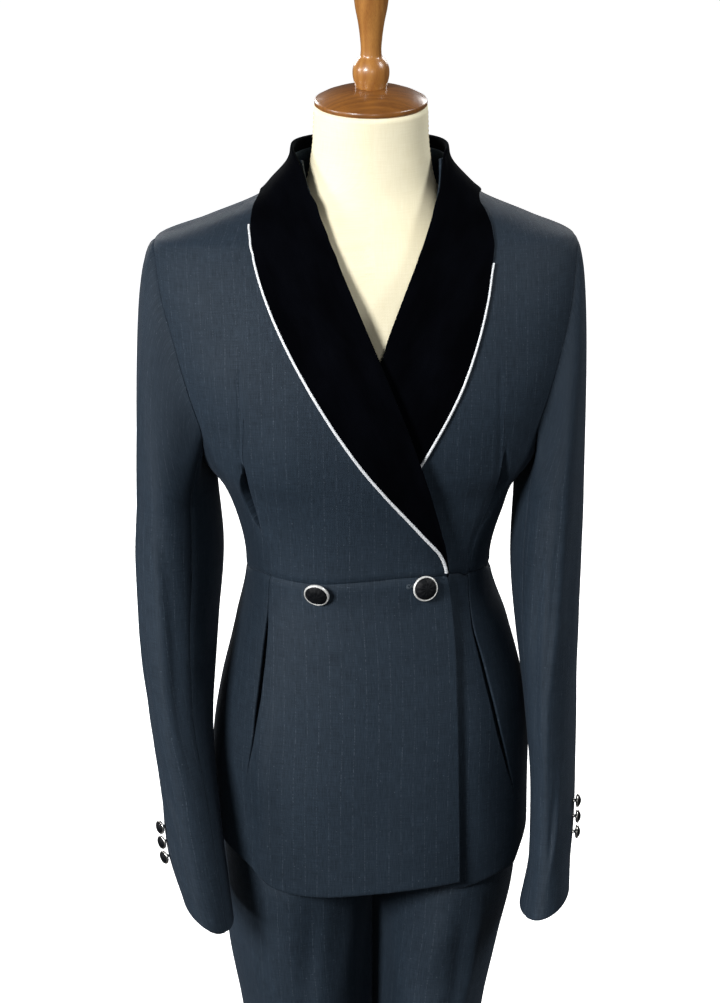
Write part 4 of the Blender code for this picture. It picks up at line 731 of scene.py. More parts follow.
trouserCreases = {
    "R": [
        ([(0.050, 0.770), (0.0520, 0.748), (0.0575, 0.705), (0.066, 0.640)], 0.0060, 0.0030, 0.2),
        ([(0.069, 0.775), (0.0694, 0.757), (0.0714, 0.700), (0.0790, 0.620)], 0.0055, 0.0028, -0.2),
        ([(0.0605, 0.760), (0.0640, 0.700), (0.0700, 0.640)], 0.0050, -0.0024, 0.0),
        ([(0.112, 0.800), (0.1070, 0.730), (0.098, 0.650)], 0.0110, -0.0044, 0.2),
        ([(0.150, 0.790), (0.147, 0.740), (0.136, 0.680)], 0.0090, 0.0024, 0.0),
        ([(0.182, 0.790), (0.176, 0.740), (0.164, 0.670), (0.150, 0.600)], 0.0100, -0.0050, 0.3),
        ([(0.100, 0.640), (0.1000, 0.400), (0.100, 0.110)], 0.0050, 0.0022, 0.0),
        ([(0.060, 0.480), (0.085, 0.440), (0.120, 0.452)], 0.0110, -0.0026, 0.0),
        ([(0.050, 0.210), (0.080, 0.175), (0.120, 0.182)], 0.0120, -0.0030, 0.0),
        ([(0.070, 0.150), (0.110, 0.128), (0.150, 0.142)], 0.0100, -0.0024, 0.0),
        ([(-0.060, 0.790), (-0.080, 0.720), (-0.120, 0.690)], 0.0120, -0.0034, 0.0),
        ([(-0.140, 0.780), (-0.130, 0.700), (-0.115, 0.620)], 0.0120, 0.0026, 0.0),
        ([(-0.100, 0.640), (-0.1000, 0.400), (-0.100, 0.110)], 0.0050, 0.0022, 0.0),
        ([(-0.060, 0.470), (-0.090, 0.445), (-0.130, 0.460)], 0.0100, -0.0032, 0.0),
        ([(-0.055, 0.430), (-0.095, 0.408), (-0.125, 0.420)], 0.0090, -0.0026, 0.0),
        ([(-0.060, 0.190), (-0.100, 0.160), (-0.140, 0.172)], 0.0110, -0.0028, 0.0),
    ],
    "L": [
        ([(0.076, 0.790), (0.0700, 0.770), (0.0665, 0.708), (0.070, 0.630)], 0.0060, 0.0030, 0.2),
        ([(0.088, 0.780), (0.082, 0.700), (0.084, 0.640)], 0.0060, -0.0026, 0.0),
        ([(0.108, 0.770), (0.1056, 0.740), (0.120, 0.690)], 0.0120, 0.0018, 0.0),
        ([(0.141, 0.760), (0.1408, 0.726), (0.138, 0.670)], 0.0140, 0.0020, 0.0),
        ([(0.180, 0.790), (0.172, 0.730), (0.158, 0.650)], 0.0110, -0.0040, 0.2),
        ([(0.100, 0.630), (0.1000, 0.400), (0.100, 0.110)], 0.0050, 0.0022, 0.0),
        ([(0.055, 0.470), (0.088, 0.430), (0.124, 0.446)], 0.0110, -0.0026, 0.0),
        ([(0.052, 0.200), (0.088, 0.168), (0.126, 0.178)], 0.0120, -0.0030, 0.0),
        ([(-0.058, 0.785), (-0.082, 0.715), (-0.118, 0.688)], 0.0120, -0.0034, 0.0),
        ([(-0.142, 0.775), (-0.130, 0.695), (-0.116, 0.615)], 0.0120, 0.0026, 0.0),
        ([(-0.100, 0.630), (-0.1000, 0.400), (-0.100, 0.110)], 0.0050, 0.0022, 0.0),
        ([(-0.062, 0.480), (-0.092, 0.452), (-0.132, 0.465)], 0.0100, -0.0032, 0.0),
        ([(-0.058, 0.200), (-0.098, 0.166), (-0.138, 0.178)], 0.0110, -0.0028, 0.0),
    ],
}


farOff = 1e9                      # longer than any distance on the suit
hair = 1e-6                       # shorter than any step between two rows


def signOf(side):
    return -1.0 if side == "R" else 1.0


def smoothStep(value, start, end):
    share = np.clip((value - start) / (end - start), 0, 1)
    return share * share * (3 - 2 * share)


def unit(vectors):
    return vectors / np.maximum(np.linalg.norm(vectors, axis=-1, keepdims=True), 1e-12)


def runningSum(steps):
    # sums so far along the last axis, starting at 0
    zero = np.zeros(steps.shape[:-1] + (1,))
    return np.concatenate([zero, np.cumsum(steps, axis=-1)], axis=-1)


def lengthsAcross(points, places, zero):
    # length along each row of points, counted from where the row's place is zero
    lengths = runningSum(np.linalg.norm(np.diff(points, axis=1), axis=2))
    for row in lengths:
        row -= np.interp(zero, places, row)
    return lengths


def creaseLift(across, along, creases):
    across, along = np.broadcast_arrays(np.asarray(across, float), np.asarray(along, float))
    lift = np.zeros(across.shape)
    for points, halfWidth, depth, lean in creases:
        points = np.array(points, float)
        runs = np.diff(points, axis=0)
        lengths = np.hypot(runs[:, 0], runs[:, 1])
        total = lengths.sum()
        starts = runningSum(lengths)[:-1]
        nearest = np.full(across.shape, farOff)
        aside = np.zeros(across.shape)
        place = np.zeros(across.shape)
        for point, run, length, start in zip(points, runs, lengths, starts):
            da, dl = across - point[0], along - point[1]
            share = np.clip((da * run[0] + dl * run[1]) / length**2, 0, 1)
            offA, offL = da - share * run[0], dl - share * run[1]
            distance = np.hypot(offA, offL)
            side = np.sign(dl * run[0] - da * run[1])
            closer = distance < nearest
            nearest = np.where(closer, distance, nearest)
            aside = np.where(closer, side * distance, aside)
            place = np.where(closer, (start + share * length) / total, place)
        ends = np.sin(np.pi * np.clip(place, 0.0, 1.0)) ** 0.8
        width = halfWidth * (1 - lean * np.tanh(aside / halfWidth * 1.5))
        lift += depth * ends * np.exp(-(aside / width) ** 2)
    return lift


def ripples(across, along, size, seed):
    waves = [(31.0, 17.0, 0.3), (-23.0, 41.0, 1.9), (57.0, -11.0, 4.1), (13.0, 63.0, 2.6),
             (71.0, 38.0, 5.2)]
    total = 0.0
    for number, (a, b, phase) in enumerate(waves):
        total = total + np.sin(across * a * 1.3 + along * b + phase + seed * (number + 1.7))
    return total / len(waves) * size * 1.6


def oval(turn, halfWidth, front, back, power):
    angle = np.radians(turn)
    side, ahead = np.sin(angle), np.cos(angle)
    x = halfWidth * np.sign(side) * np.abs(side) ** (2 / power)
    y = np.where(ahead > 0, -front, back) * np.abs(ahead) ** (2 / power)
    return x, y


def tableOval(table, turn, z):
    return oval(turn, *(at(table, column, z) for column in ("halfWidth", "front", "back", "power")))


def plainOval(turn, z):
    x, y = tableOval(bodyTable, turn, z)
    return np.stack(np.broadcast_arrays(x + at(bodyTable, "centre", z), y, z), axis=-1)


def bodyTurn(x, z):
    share = (x - at(bodyTable, "centre", z)) / at(bodyTable, "halfWidth", z)
    sine = bent(share, at(bodyTable, "power", z) / 2)
    return np.degrees(np.arcsin(np.clip(sine, -1, 1)))


def seamPull(turn, x, z):
    # cloth drawn in along each seam of the jacket
    width = jacketSizes["seamWidth"]
    size = at(bodyTable, "halfWidth", z)
    around = np.abs(turn)
    waist = at(waistTable, "z", turn)
    near = [np.abs(z - waist)]
    for seam, top in ((jacketSizes["sideSeamTurn"], jacketSizes["armholeBottom"]),
                      (at(backSeamTable, "turn", z), jacketSizes["sideBackTop"])):
        near.append(np.abs(around - seam) * np.radians(1) * size + np.maximum(z - top, 0) * 3)
    near.append((180 - around) * np.radians(1) * jacketSizes["backRadius"])
    for side in ("R", "L"):
        # one metre further off behind the sides, where there is no dart
        line = np.abs(x - at(dartTable[side], "x", z)) + (around > 90) * 1.0
        line = line + np.maximum(waist - z, 0) * 3
        near.append(line + np.maximum(z - jacketSizes["dartFade"], 0) * 0.4)
    total = 0.0
    for distance in near:
        total = total + np.exp(-(distance / width) ** 2)
    return -jacketSizes["seamDip"] * np.minimum(total, 1.4)


def body(turn, z):
    x, y = tableOval(bodyTable, turn, z)
    ahead = np.abs(turn) < 90
    lift = np.where(ahead, creaseLift(x, z, frontCreases), creaseLift(x, z, backCreases))
    fade = smoothStep(z, *jacketSizes["rippleTop"])
    along = np.radians(turn) * jacketSizes["mapRadius"]
    lift = lift + ripples(along, z, jacketSizes["ripple"], 0.0) * fade
    lift = lift + seamPull(turn, x, z)
    reach = 1 + lift / np.maximum(np.hypot(x, y), 0.02)
    return np.stack(np.broadcast_arrays(x * reach + at(bodyTable, "centre", z), y * reach, z),
                    axis=-1)


def surfaceNormals(surface, u, v, du, dv):
    return unit(np.cross(surface(u + du, v) - surface(u - du, v),
                         surface(u, v + dv) - surface(u, v - dv)))


def bodyNormals(turn, z):
    # over half a degree and a millimetre each way
    return surfaceNormals(body, turn, z, 0.5, 0.001)


def underlap(side, turn, z):
    if side != "L":
        return np.zeros(np.broadcast(turn, z).shape)
    x = plainOval(turn, z)[..., 0]
    beyond = x - at(frontEdgeTable["R"], "x", z)
    across = 1 - smoothStep(beyond, *jacketSizes["underlapRamp"])
    upward = 1 - smoothStep(z, *jacketSizes["underlapTop"])
    return jacketSizes["underlapDepth"] * across * upward * (np.abs(turn) < 90)


def jacket(side, turn, z, lift=0.0):
    turn, z = np.broadcast_arrays(np.asarray(turn, dtype=float), np.asarray(z, dtype=float))
    out = bodyNormals(turn, z)
    height = lift - underlap(side, turn, z)
    return body(turn, z) + out * np.asarray(height)[..., None]


def makeClothMap():
    # cloth measured round from the front centre and up from z = 0.74, on the plain ovals
    heights = np.linspace(0.74, 1.50, 153)
    turns = np.linspace(-200, 200, 401)
    points = plainOval(*np.meshgrid(turns, heights))
    upward = runningSum(np.linalg.norm(np.diff(points, axis=0), axis=2).T).T
    return heights, turns, lengthsAcross(points, turns, 0.0), upward


clothMap = makeClothMap()


def clothUv(turn, z):
    heights, turns, *tables = clothMap
    turn, z = np.broadcast_arrays(np.asarray(turn, float), np.asarray(z, float))
    row = np.clip((z - heights[0]) / (heights[1] - heights[0]), 0, len(heights) - 1.001)
    column = np.clip((turn - turns[0]) / (turns[1] - turns[0]), 0, len(turns) - 1.001)
    r, c = row.astype(int), column.astype(int)
    p, q = row - r, column - c
    found = []
    for table in tables:
        found.append(table[r, c] * (1 - p) * (1 - q) + table[r + 1, c] * p * (1 - q)
                     + table[r, c + 1] * (1 - p) * q + table[r + 1, c + 1] * p * q)
    return np.stack(found, axis=-1)


def gridFaces(rows, columns, slit=None, wrap=False):
    # slit is (column, rows cut, from the start): its two lips share vertices where uncut
    index = np.arange(rows * columns).reshape(rows, columns)
    skipped = None
    if slit is not None:
        skipped, cut, atStart = slit
        whole = slice(cut, rows) if atStart else slice(0, rows - cut)
        index[whole, skipped + 1] = index[whole, skipped]
    left = np.array([c for c in range(columns if wrap else columns - 1) if c != skipped])
    right = (left + 1) % columns
    faces = np.stack([index[:-1][:, left], index[:-1][:, right], index[1:][:, right],
                      index[1:][:, left]], axis=-1)
    return faces.reshape(-1, 4)


def closeRound(cornerUv, girth):
    # faces that close a ring take the far side of the map instead of crossing all of it
    across = cornerUv[:, :, 0]
    jump = across.max(axis=1, keepdims=True) - across > girth / 2
    cornerUv[:, :, 0] = across + jump * girth


def clothWall(name, outer, normal, thick, uv, slit, wrap):
    # closed wall of cloth whose edges are rounded over inside the grid's own outline
    rows, columns, _ = outer.shape
    count = rows * columns
    faces = gridFaces(rows, columns, slit, wrap > 0)
    points = outer.reshape(-1, 3).copy()
    out = normal.reshape(-1, 3)
    thick = np.broadcast_to(thick, (rows, columns)).reshape(-1)
    a, b, d = (points[faces[:, i]] for i in (0, 1, 3))
    if np.sum(np.cross(b - a, d - a) * out[faces[:, 0]]) < 0:
        faces = faces[:, ::-1]
    edges = np.concatenate([faces[:, [i, (i + 1) % 4]] for i in range(4)])
    keys = np.sort(edges, axis=1)
    keys = keys[:, 0] * count + keys[:, 1]
    _, back, uses = np.unique(keys, return_inverse=True, return_counts=True)
    rim = edges[uses[back] == 1]
    after = dict(zip(rim[:, 0].tolist(), rim[:, 1].tolist()))
    before = {v: k for k, v in after.items()}
    border = np.array(sorted(after))
    nextOne, lastOne = (np.array([ring[v] for v in border.tolist()]) for ring in (after, before))

    edgeOut = out[border]
    toLast = unit(np.cross(points[border] - points[lastOne], edgeOut))
    toNext = unit(np.cross(points[nextOne] - points[border], edgeOut))
    agree = np.sum(toLast * toNext, axis=1)
    miter = (toLast + toNext) / np.maximum(1 + agree, 0.35)[:, None]
    miter[agree < -0.6] = 0.0
    span = np.linalg.norm(points[edges[:, 0]] - points[edges[:, 1]], axis=1)
    onRim = np.zeros(count, bool)
    onRim[border] = True
    room = np.full(count, farOff)
    for one, other in ((0, 1), (1, 0)):
        inward = onRim[edges[:, one]] & ~onRim[edges[:, other]]
        np.minimum.at(room, edges[inward, one], span[inward])
    corner = room == farOff
    for one in (0, 1):
        np.minimum.at(room, edges[:, one], np.where(corner[edges[:, one]], span, farOff))
    half = thick[border] / 2
    reach = np.minimum(half, room[border] * 0.45)[:, None]
    points[border] = points[border] - miter * reach
    centre = points[border] - edgeOut * half[:, None]
    inner = points - out * thick[:, None]
    loops = []
    for degrees in (45, 90, 135):
        angle = math.radians(degrees)
        loops.append(centre + miter * reach * math.sin(angle)
                     + edgeOut * half[:, None] * math.cos(angle))
    place = np.full(count, -1)
    place[border] = np.arange(len(border))
    start = 2 * count
    rings = [border] + [start + k * len(border) + np.arange(len(border)) for k in range(3)]
    rings.append(border + count)
    spot, other = place[rim[:, 0]], place[rim[:, 1]]
    allFaces = [faces, faces[:, ::-1] + count]
    for low, high in zip(rings, rings[1:]):
        allFaces.append(np.stack([low[other], low[spot], high[spot], high[other]], axis=1))
    allPoints = np.concatenate([points, inner] + loops)
    allFaces = np.concatenate(allFaces)
    flatUv = uv.reshape(-1, 2)
    allUv = np.concatenate([flatUv, flatUv] + [flatUv[border]] * 3)
    cornerUv = allUv[allFaces]
    if wrap > 0:
        closeRound(cornerUv[:2 * len(faces)], wrap)
    used = np.zeros(len(allPoints), bool)
    used[allFaces.reshape(-1)] = True
    renumber = np.cumsum(used) - 1
    return newPiece(name, allPoints[used], renumber[allFaces].tolist(), cornerUv)


def newPiece(name, points, faces, cornerUv=None):
    mesh = bpy.data.meshes.new(name)
    mesh.from_pydata(points.tolist(), [], faces)
    if cornerUv is not None:
        layer = mesh.uv_layers.new(name="cloth")
        layer.data.foreach_set("uv", np.asarray(cornerUv, dtype=np.float32).reshape(-1))
    mesh.shade_smooth()
    mesh.update()
    return shown(name, mesh)


def finish(piece, material, nodes=()):
    piece.data.materials.clear()
    piece.data.materials.append(finishes[material])
    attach(piece, "root")
    if nodes:
        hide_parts(*nodes)
    return piece


sheetSizes = []


def declareSheet(piece, outer, wrap):
    rows = np.linalg.norm(np.diff(outer, axis=1), axis=2).sum(axis=1)
    if wrap:
        rows = rows + np.linalg.norm(outer[:, 0] - outer[:, -1], axis=1)
    columns = np.linalg.norm(np.diff(outer, axis=0), axis=2).sum(axis=0)
    a, b = outer[1:, 1:] - outer[:-1, :-1], outer[1:, :-1] - outer[:-1, 1:]
    area = float(np.linalg.norm(np.cross(a, b), axis=2).sum() / 2)
    width, length = round(float(rows.max()), 3), round(float(columns.max()), 3)
    sheetSizes.append((piece.name, width, length, round(area, 4)))


def sewn(name, node, outer, normal, thick, uv, slit=None, wrap=0.0,
         cloth="suiting"):
    piece = clothWall(name, outer, normal, thick, uv, slit, wrap)
    finish(piece, cloth, (node,))
    declareSheet(piece, outer, wrap > 0)


def refined(heights, step):
    rows = [heights[:1]]
    for low, high in zip(heights, heights[1:]):
        fine = step * 0.5 if low > jacketSizes["fineAbove"] else step
        count = max(1, int(math.ceil((high - low) / fine)))
        rows.append(np.linspace(low, high, count + 1)[1:])
    return np.concatenate(rows)


def spreadRows(start, end, shares):
    return start[:, None] * (1 - shares) + end[:, None] * shares


def edgedShares(count):
    # even columns, with an extra one close to each edge to hold its rounding
    shares = np.linspace(0, 1, count)
    pad = jacketSizes["edgeColumn"] / (count - 1)
    return np.concatenate([[0, pad], shares[1:-1], [1 - pad, 1]])


def gapTurn(z):
    return np.degrees(jacketSizes["seamGap"] / 2 / at(bodyTable, "halfWidth", z)) * 1.2


def edgeThickness(distance, extra, reach):
    return extra * (1 - smoothStep(distance, reach * 0.75, reach))


def thickened(turn, edge, radius, extra, reach):
    # added thickness beside an edge that runs up the rows, at about that radius
    return edgeThickness(np.abs(turn - edge[:, None]) * np.radians(1) * radius, extra, reach)


def jacketPiece(name, node, side, turn, z, slit=None, hem=None, edge=None, lift=0.0):
    thick = np.full(turn.shape, jacketSizes["cloth"])
    if hem is not None:
        thick = thick + edgeThickness(z - hem, jacketSizes["hemExtra"], jacketSizes["hemDepth"])
    if edge is not None:
        thick = np.maximum(thick, jacketSizes["cloth"] + edge)
    sewn(name, node, jacket(side, turn, z, lift), bodyNormals(turn, z), thick, clothUv(turn, z),
         slit)


def settled(turn, heights):
    # the lowest rows follow the waist seam
    rows = heights[:, None]
    settle = 1 - smoothStep(rows, bodiceHeights[0], bodice["settleTop"])
    wanted = at(waistTable, "z", turn) + jacketSizes["seamGap"] / 2 - bodiceHeights[0]
    return rows + wanted * settle


bodice = {
    "frontColumns": (46, 26), "sideColumns": 14, "backColumns": 34,
    "settleTop": 1.150,
    "facing": 0.0012,                 # added thickness up the front edge
    "facingReach": 0.045,
    "radius": 0.11,                   # of the body near the front edge
    "sideTop": 1.286,
    # fold that hangs beside each waist dart: lowest and highest point, depth, width across
    "fold": {"R": (1.143, 1.216, 0.0140, 0.0128), "L": (1.145, 1.230, 0.0050, 0.0160)},
    "foldLow": 0.75,                  # below 1 the fold is widest and deepest low down
    "foldSteps": (0, 0.15, 0.3, 0.45, 0.6, 0.7, 0.78, 0.84, 0.9, 0.96, 1.03, 1.1, 1.25, 1.5),
    "foldTuck": 0.0030,               # how far the cloth passes under the panel beside it
    "foldBelow": 0.0022,              # and how far below it
    # how far the sunk cloth is shifted towards the side seam, in fold widths
    "foldSteep": {"R": 0.27, "L": -0.60},
    "foldRadius": 0.115,
}


def foldedPart(side, dart, rim, heights, count):
    # columns of a front from the dart to its rim, sunk where the fold hangs
    sign = signOf(side)
    low, high, depth, width = bodice["fold"][side]
    share = np.clip((heights - low) / (high - low), 0, 1)[:, None]
    window = np.sin(np.pi * share ** bodice["foldLow"])
    width = np.maximum(width * window, 0.004)
    steps = np.array(bodice["foldSteps"])
    wall = 1 - smoothStep(steps, 0.75, 1.1)
    sunk = smoothStep(steps, 0, 0.55) * wall
    across = width * (steps + bodice["foldSteep"][side] * sunk * window)
    across = across - bodice["foldTuck"] * window * (1 - smoothStep(steps, 0, 0.4))
    near = dart[:, None] + sign * np.degrees(across / bodice["foldRadius"])
    far = spreadRows(near[:, -1], rim, edgedShares(count))[:, 1:]
    lift = np.zeros((len(heights), near.shape[1] + far.shape[1]))
    lift[:, :near.shape[1]] = -window * (depth * sunk + bodice["foldBelow"] * wall)
    return np.concatenate([near, far], axis=1), lift


def bodiceFront(side):
    sign = signOf(side)
    heights = refined(bodiceHeights, jacketSizes["rowStep"])
    tip = jacketSizes["dartTip"]
    inset = at(frontEdgeTable[side], "x", heights) + sign * jacketSizes["rollInset"]
    edge = bodyTurn(inset, heights)
    rim = np.where(heights < jacketSizes["armholeBottom"], jacketSizes["sideSeamTurn"],
                   at(armholeTable, "frontTurn", heights))
    rim = np.where(heights > jacketSizes["shoulderTip"] - hair, 90.0, rim)
    rim = sign * (rim - gapTurn(heights))
    dart = bodyTurn(at(dartTable[side], "x", heights), heights)
    fade = smoothStep(heights, tip, tip + 0.08)
    dart = dart * (1 - fade) + (edge * 0.42 + rim * 0.58) * fade
    cut = heights < tip - hair
    lip = gapTurn(heights) * cut
    first, second = edgedShares(bodice["frontColumns"][0]), bodice["frontColumns"][1]
    innerPart = spreadRows(edge, dart - sign * lip, first)
    outerPart, sunk = foldedPart(side, dart + sign * lip, rim, heights, second)
    turn = np.concatenate([innerPart, outerPart], axis=1)
    lift = np.concatenate([np.zeros(innerPart.shape), sunk], axis=1)
    slit = (len(first) - 1, int(np.sum(cut)), True)
    z = settled(turn, heights)
    facing = thickened(turn, edge, bodice["radius"], bodice["facing"], bodice["facingReach"])
    jacketPiece(f"bodiceFront{side}", f"bodice_front_{side}", side, turn, z,
                slit=slit, edge=facing, lift=lift)


def bodiceSide(side):
    heights = refined(bodiceHeights, jacketSizes["rowStep"])
    heights = heights[heights <= bodice["sideTop"] + hair]
    near = np.where(heights < jacketSizes["armholeBottom"], jacketSizes["sideSeamTurn"],
                    at(armholeTable, "backTurn", heights))
    near = near + gapTurn(heights)
    far = at(backSeamTable, "turn", heights) - gapTurn(heights)
    turn = signOf(side) * spreadRows(near, far, edgedShares(bodice["sideColumns"]))
    jacketPiece(f"bodiceSide{side}", f"bodice_side_{side}", side, turn, settled(turn, heights))


def bodiceBack(side):
    heights = refined(bodiceHeights, jacketSizes["rowStep"])
    near = np.where(heights < jacketSizes["sideBackTop"], at(backSeamTable, "turn", heights),
                    at(armholeTable, "backTurn", heights))
    near = np.where(heights > jacketSizes["shoulderTip"] - hair, 90.0, near) + gapTurn(heights)
    far = np.full(len(heights), 180.0) - gapTurn(heights)
    turn = signOf(side) * spreadRows(near, far, edgedShares(bodice["backColumns"]))
    jacketPiece(f"bodiceBack{side}", f"bodice_back_{side}", side, turn, settled(turn, heights))


peplum = {
    "frontColumns": (46, 26), "sideColumns": 14, "backColumns": 26, "stripRows": 64,
    # rows are spread over these heights first, then fitted to the hem and the waist seam
    "ends": (0.812, 1.100),
    "stripFoot": 0.84,
    "stripHeight": 0.25,
    "lipExtra": 0.0013,               # added thickness beside the pleat's open edges
    "lipReach": 0.016,
    "radius": 0.13,                   # of the skirt near the front edge and the pleat
}


def peplumHeights(side, turn, share):
    low = at(hemTable[side], "z", turn)
    high = at(waistTable, "z", turn) - jacketSizes["seamGap"] / 2
    return low + (high - low) * share


def peplumFront(side):
    sign = signOf(side)
    tip = jacketSizes["pleatTip"][side]
    low, high = peplum["ends"]
    nominal = refined(np.array([low, tip, high]), jacketSizes["rowStep"])
    edge = bodyTurn(at(frontEdgeTable[side], "x", nominal), nominal)
    rim = sign * (jacketSizes["sideSeamTurn"] - gapTurn(nominal)) * np.ones(len(nominal))
    cut = nominal > tip + hair
    half = np.where(cut, at(pleatTable[side], "open", nominal) / 2, 0)
    middle = at(pleatTable[side], "x", nominal)
    lipIn = bodyTurn(middle - sign * half, nominal)
    lipOut = bodyTurn(middle + sign * half, nominal)
    first, second = (edgedShares(count) for count in peplum["frontColumns"])
    turn = np.concatenate([spreadRows(edge, lipIn, first), spreadRows(lipOut, rim, second)], axis=1)
    share = ((nominal - nominal[0]) / (nominal[-1] - nominal[0]))[:, None]
    z = peplumHeights(side, turn, share)
    slit = (len(first) - 1, int(np.sum(cut)), False)
    radius = peplum["radius"]
    facing = thickened(turn, edge, radius, bodice["facing"], bodice["facingReach"])
    lips = thickened(turn, lipIn, radius, peplum["lipExtra"], peplum["lipReach"])
    lips = lips * smoothStep(nominal, tip, tip + 0.03)[:, None]
    hem = at(hemTable[side], "z", turn)
    jacketPiece(f"peplumFront{side}", f"peplum_front_{side}", side, turn, z,
                slit=slit, hem=hem, edge=np.maximum(facing, lips))


def peplumStrip(word, side, near, far, columns):
    share = np.linspace(0, 1, peplum["stripRows"])
    nominal = peplum["stripFoot"] + peplum["stripHeight"] * share
    start, end = near(nominal) + gapTurn(nominal), far(nominal) - gapTurn(nominal)
    turn = signOf(side) * spreadRows(start, end, edgedShares(columns))
    z = peplumHeights(side, turn, share[:, None])
    hem = at(hemTable[side], "z", turn)
    jacketPiece(f"peplum{word}{side}", f"peplum_{word.lower()}_{side}", side, turn, z,
                hem=hem)


def sideLine(z):
    return np.full(len(z), jacketSizes["sideSeamTurn"])


def backLine(z):
    return at(backSeamTable, "turn", z)


def centreBackLine(z):
    return np.full(len(z), 180.0)


collar = {
    "columns": 26,
    "stationStep": 0.09,
    "rollHeight": 0.0016,
    "rollExtra": 0.0016,              # added thickness of the rolled inner edge
    "free": {"R": (2.0, 6.0), "L": (6.0, 8.0)},
    "pipingEnds": {"R": (0.35, 12.4), "L": (0.5, 10.3)},
    "pipingRadius": 0.0015,
    "pipingGap": 0.0003,
    "pipingTop": 0.62,                # share of that radius left at the shoulder end
}


def shawlTurnZ(side, stations, shares):
    innerTurn, innerZ = collarEdge(side, "inner", stations)
    outerTurn, outerZ = collarEdge(side, "outer", stations)
    return spreadRows(innerTurn, outerTurn, shares), spreadRows(innerZ, outerZ, shares)


def shawl(side, trims):
    step, last = collar["stationStep"], shawlTable[side]["key"][-1]
    stations = np.arange(0, last + step / 2, step)
    stations = np.unique(np.concatenate([np.linspace(0, 0.18, 5), stations]))
    stations = np.clip(stations, 0, last)
    shares = edgedShares(collar["columns"])
    turn, z = shawlTurnZ(side, stations, shares)
    free = smoothStep(stations, *collar["free"][side])[:, None]
    roll = collar["rollHeight"] * (1 - shares) ** 3 * free
    bulge = collar["rollExtra"] * np.exp(-(shares / 0.14) ** 2) * np.clip(stations / 2, 0, 1)[:, None]
    base = jacketSizes["collarLift"] + roll
    thick = jacketSizes["velvet"] + bulge
    outer = jacket(side, turn, z, base + thick)
    across = np.linalg.norm(outer - outer[:, :1], axis=2)
    steps = np.linalg.norm(np.diff(outer[:, -1], axis=0), axis=1)
    along = runningSum(steps)[:, None] * np.ones(len(shares))
    sewn(f"shawlCollar{side}", f"shawl_{side}", outer, bodyNormals(turn, z), thick,
         np.stack([across, along], -1),
         cloth="velvet")


def pipingPath(side):
    low, high = collar["pipingEnds"][side]
    stations = np.linspace(low, high, 150)
    outerTurn, outerZ = collarEdge(side, "outer", stations)
    inner = jacket(side, *collarEdge(side, "inner", stations))
    radius = collar["pipingRadius"]
    lift = jacketSizes["collarLift"] + radius
    edge = jacket(side, outerTurn, outerZ, lift)
    run = np.gradient(edge, axis=0)
    aside = unit(np.cross(run, bodyNormals(outerTurn, outerZ)))
    away = np.sign(np.sum(aside * (edge - inner), axis=1))
    taper = 1 - (1 - collar["pipingTop"]) * smoothStep(stations, 2.0, high)
    path = edge + aside * away[:, None] * (radius * taper + collar["pipingGap"])[:, None]
    return path, taper


def pointCloud(name, points, edges=False, **attributes):
    mesh = bpy.data.meshes.new(name)
    links = [(i, i + 1) for i in range(len(points) - 1)] if edges else []
    mesh.from_pydata(np.asarray(points).tolist(), links, [])
    for key, values in attributes.items():
        values = np.asarray(values, dtype=np.float32)
        kind = "FLOAT_VECTOR" if values.ndim == 2 else "FLOAT"
        layer = mesh.attributes.new(key, kind, "POINT")
        layer.data.foreach_set("vector" if values.ndim == 2 else "value", values.reshape(-1))
    return shown(name, mesh)


def newTree(name, inputs):
    tree = bpy.data.node_groups.new(name, "GeometryNodeTree")
    tree.interface.new_socket("Geometry", in_out="INPUT", socket_type="NodeSocketGeometry")
    for label, kind, value in inputs:
        socket = tree.interface.new_socket(label, in_out="INPUT", socket_type=kind)
        if value is not None:
            socket.default_value = value
    tree.interface.new_socket("Geometry", in_out="OUTPUT", socket_type="NodeSocketGeometry")
    return tree, tree.nodes.new("NodeGroupInput"), tree.nodes.new("NodeGroupOutput")


def grown(item, tree, values):
    # runs the tree on the object and keeps its result as a plain mesh
    modifier = item.modifiers.new(tree.name, "NODES")
    modifier.node_group = tree
    for socket in tree.interface.items_tree:
        if socket.in_out == "INPUT" and socket.name in values:
            modifier[socket.identifier] = values[socket.name]
    graph = bpy.context.evaluated_depsgraph_get()
    mesh = bpy.data.meshes.new_from_object(item.evaluated_get(graph), depsgraph=graph)
    name = item.name
    bpy.data.objects.remove(item, do_unlink=True)
    mesh.name = name
    return shown(name, mesh)


def painted(tree, given, result, geometry):
    # smooth shading, real mesh and the given material, then out of the tree
    smooth = addNode(tree, "GeometryNodeSetShadeSmooth", {"Geometry": geometry})
    real = addNode(tree, "GeometryNodeRealizeInstances", {"Geometry": smooth.outputs["Geometry"]})
    paint = addNode(tree, "GeometryNodeSetMaterial", {
        "Geometry": real.outputs["Geometry"], "Material": given.outputs["Material"]})
    connect(tree, result, {"Geometry": paint.outputs["Geometry"]})
    return tree


def stored(tree, geometry, name, value):
    return addNode(tree, "GeometryNodeStoreNamedAttribute", {
        "Geometry": geometry, "Name": name, "Value": value},
        data_type="FLOAT", domain="POINT").outputs["Geometry"]


def recalled(tree, name, kind):
    return addNode(tree, "GeometryNodeInputNamedAttribute", {"Name": name},
                   data_type=kind).outputs["Attribute"]


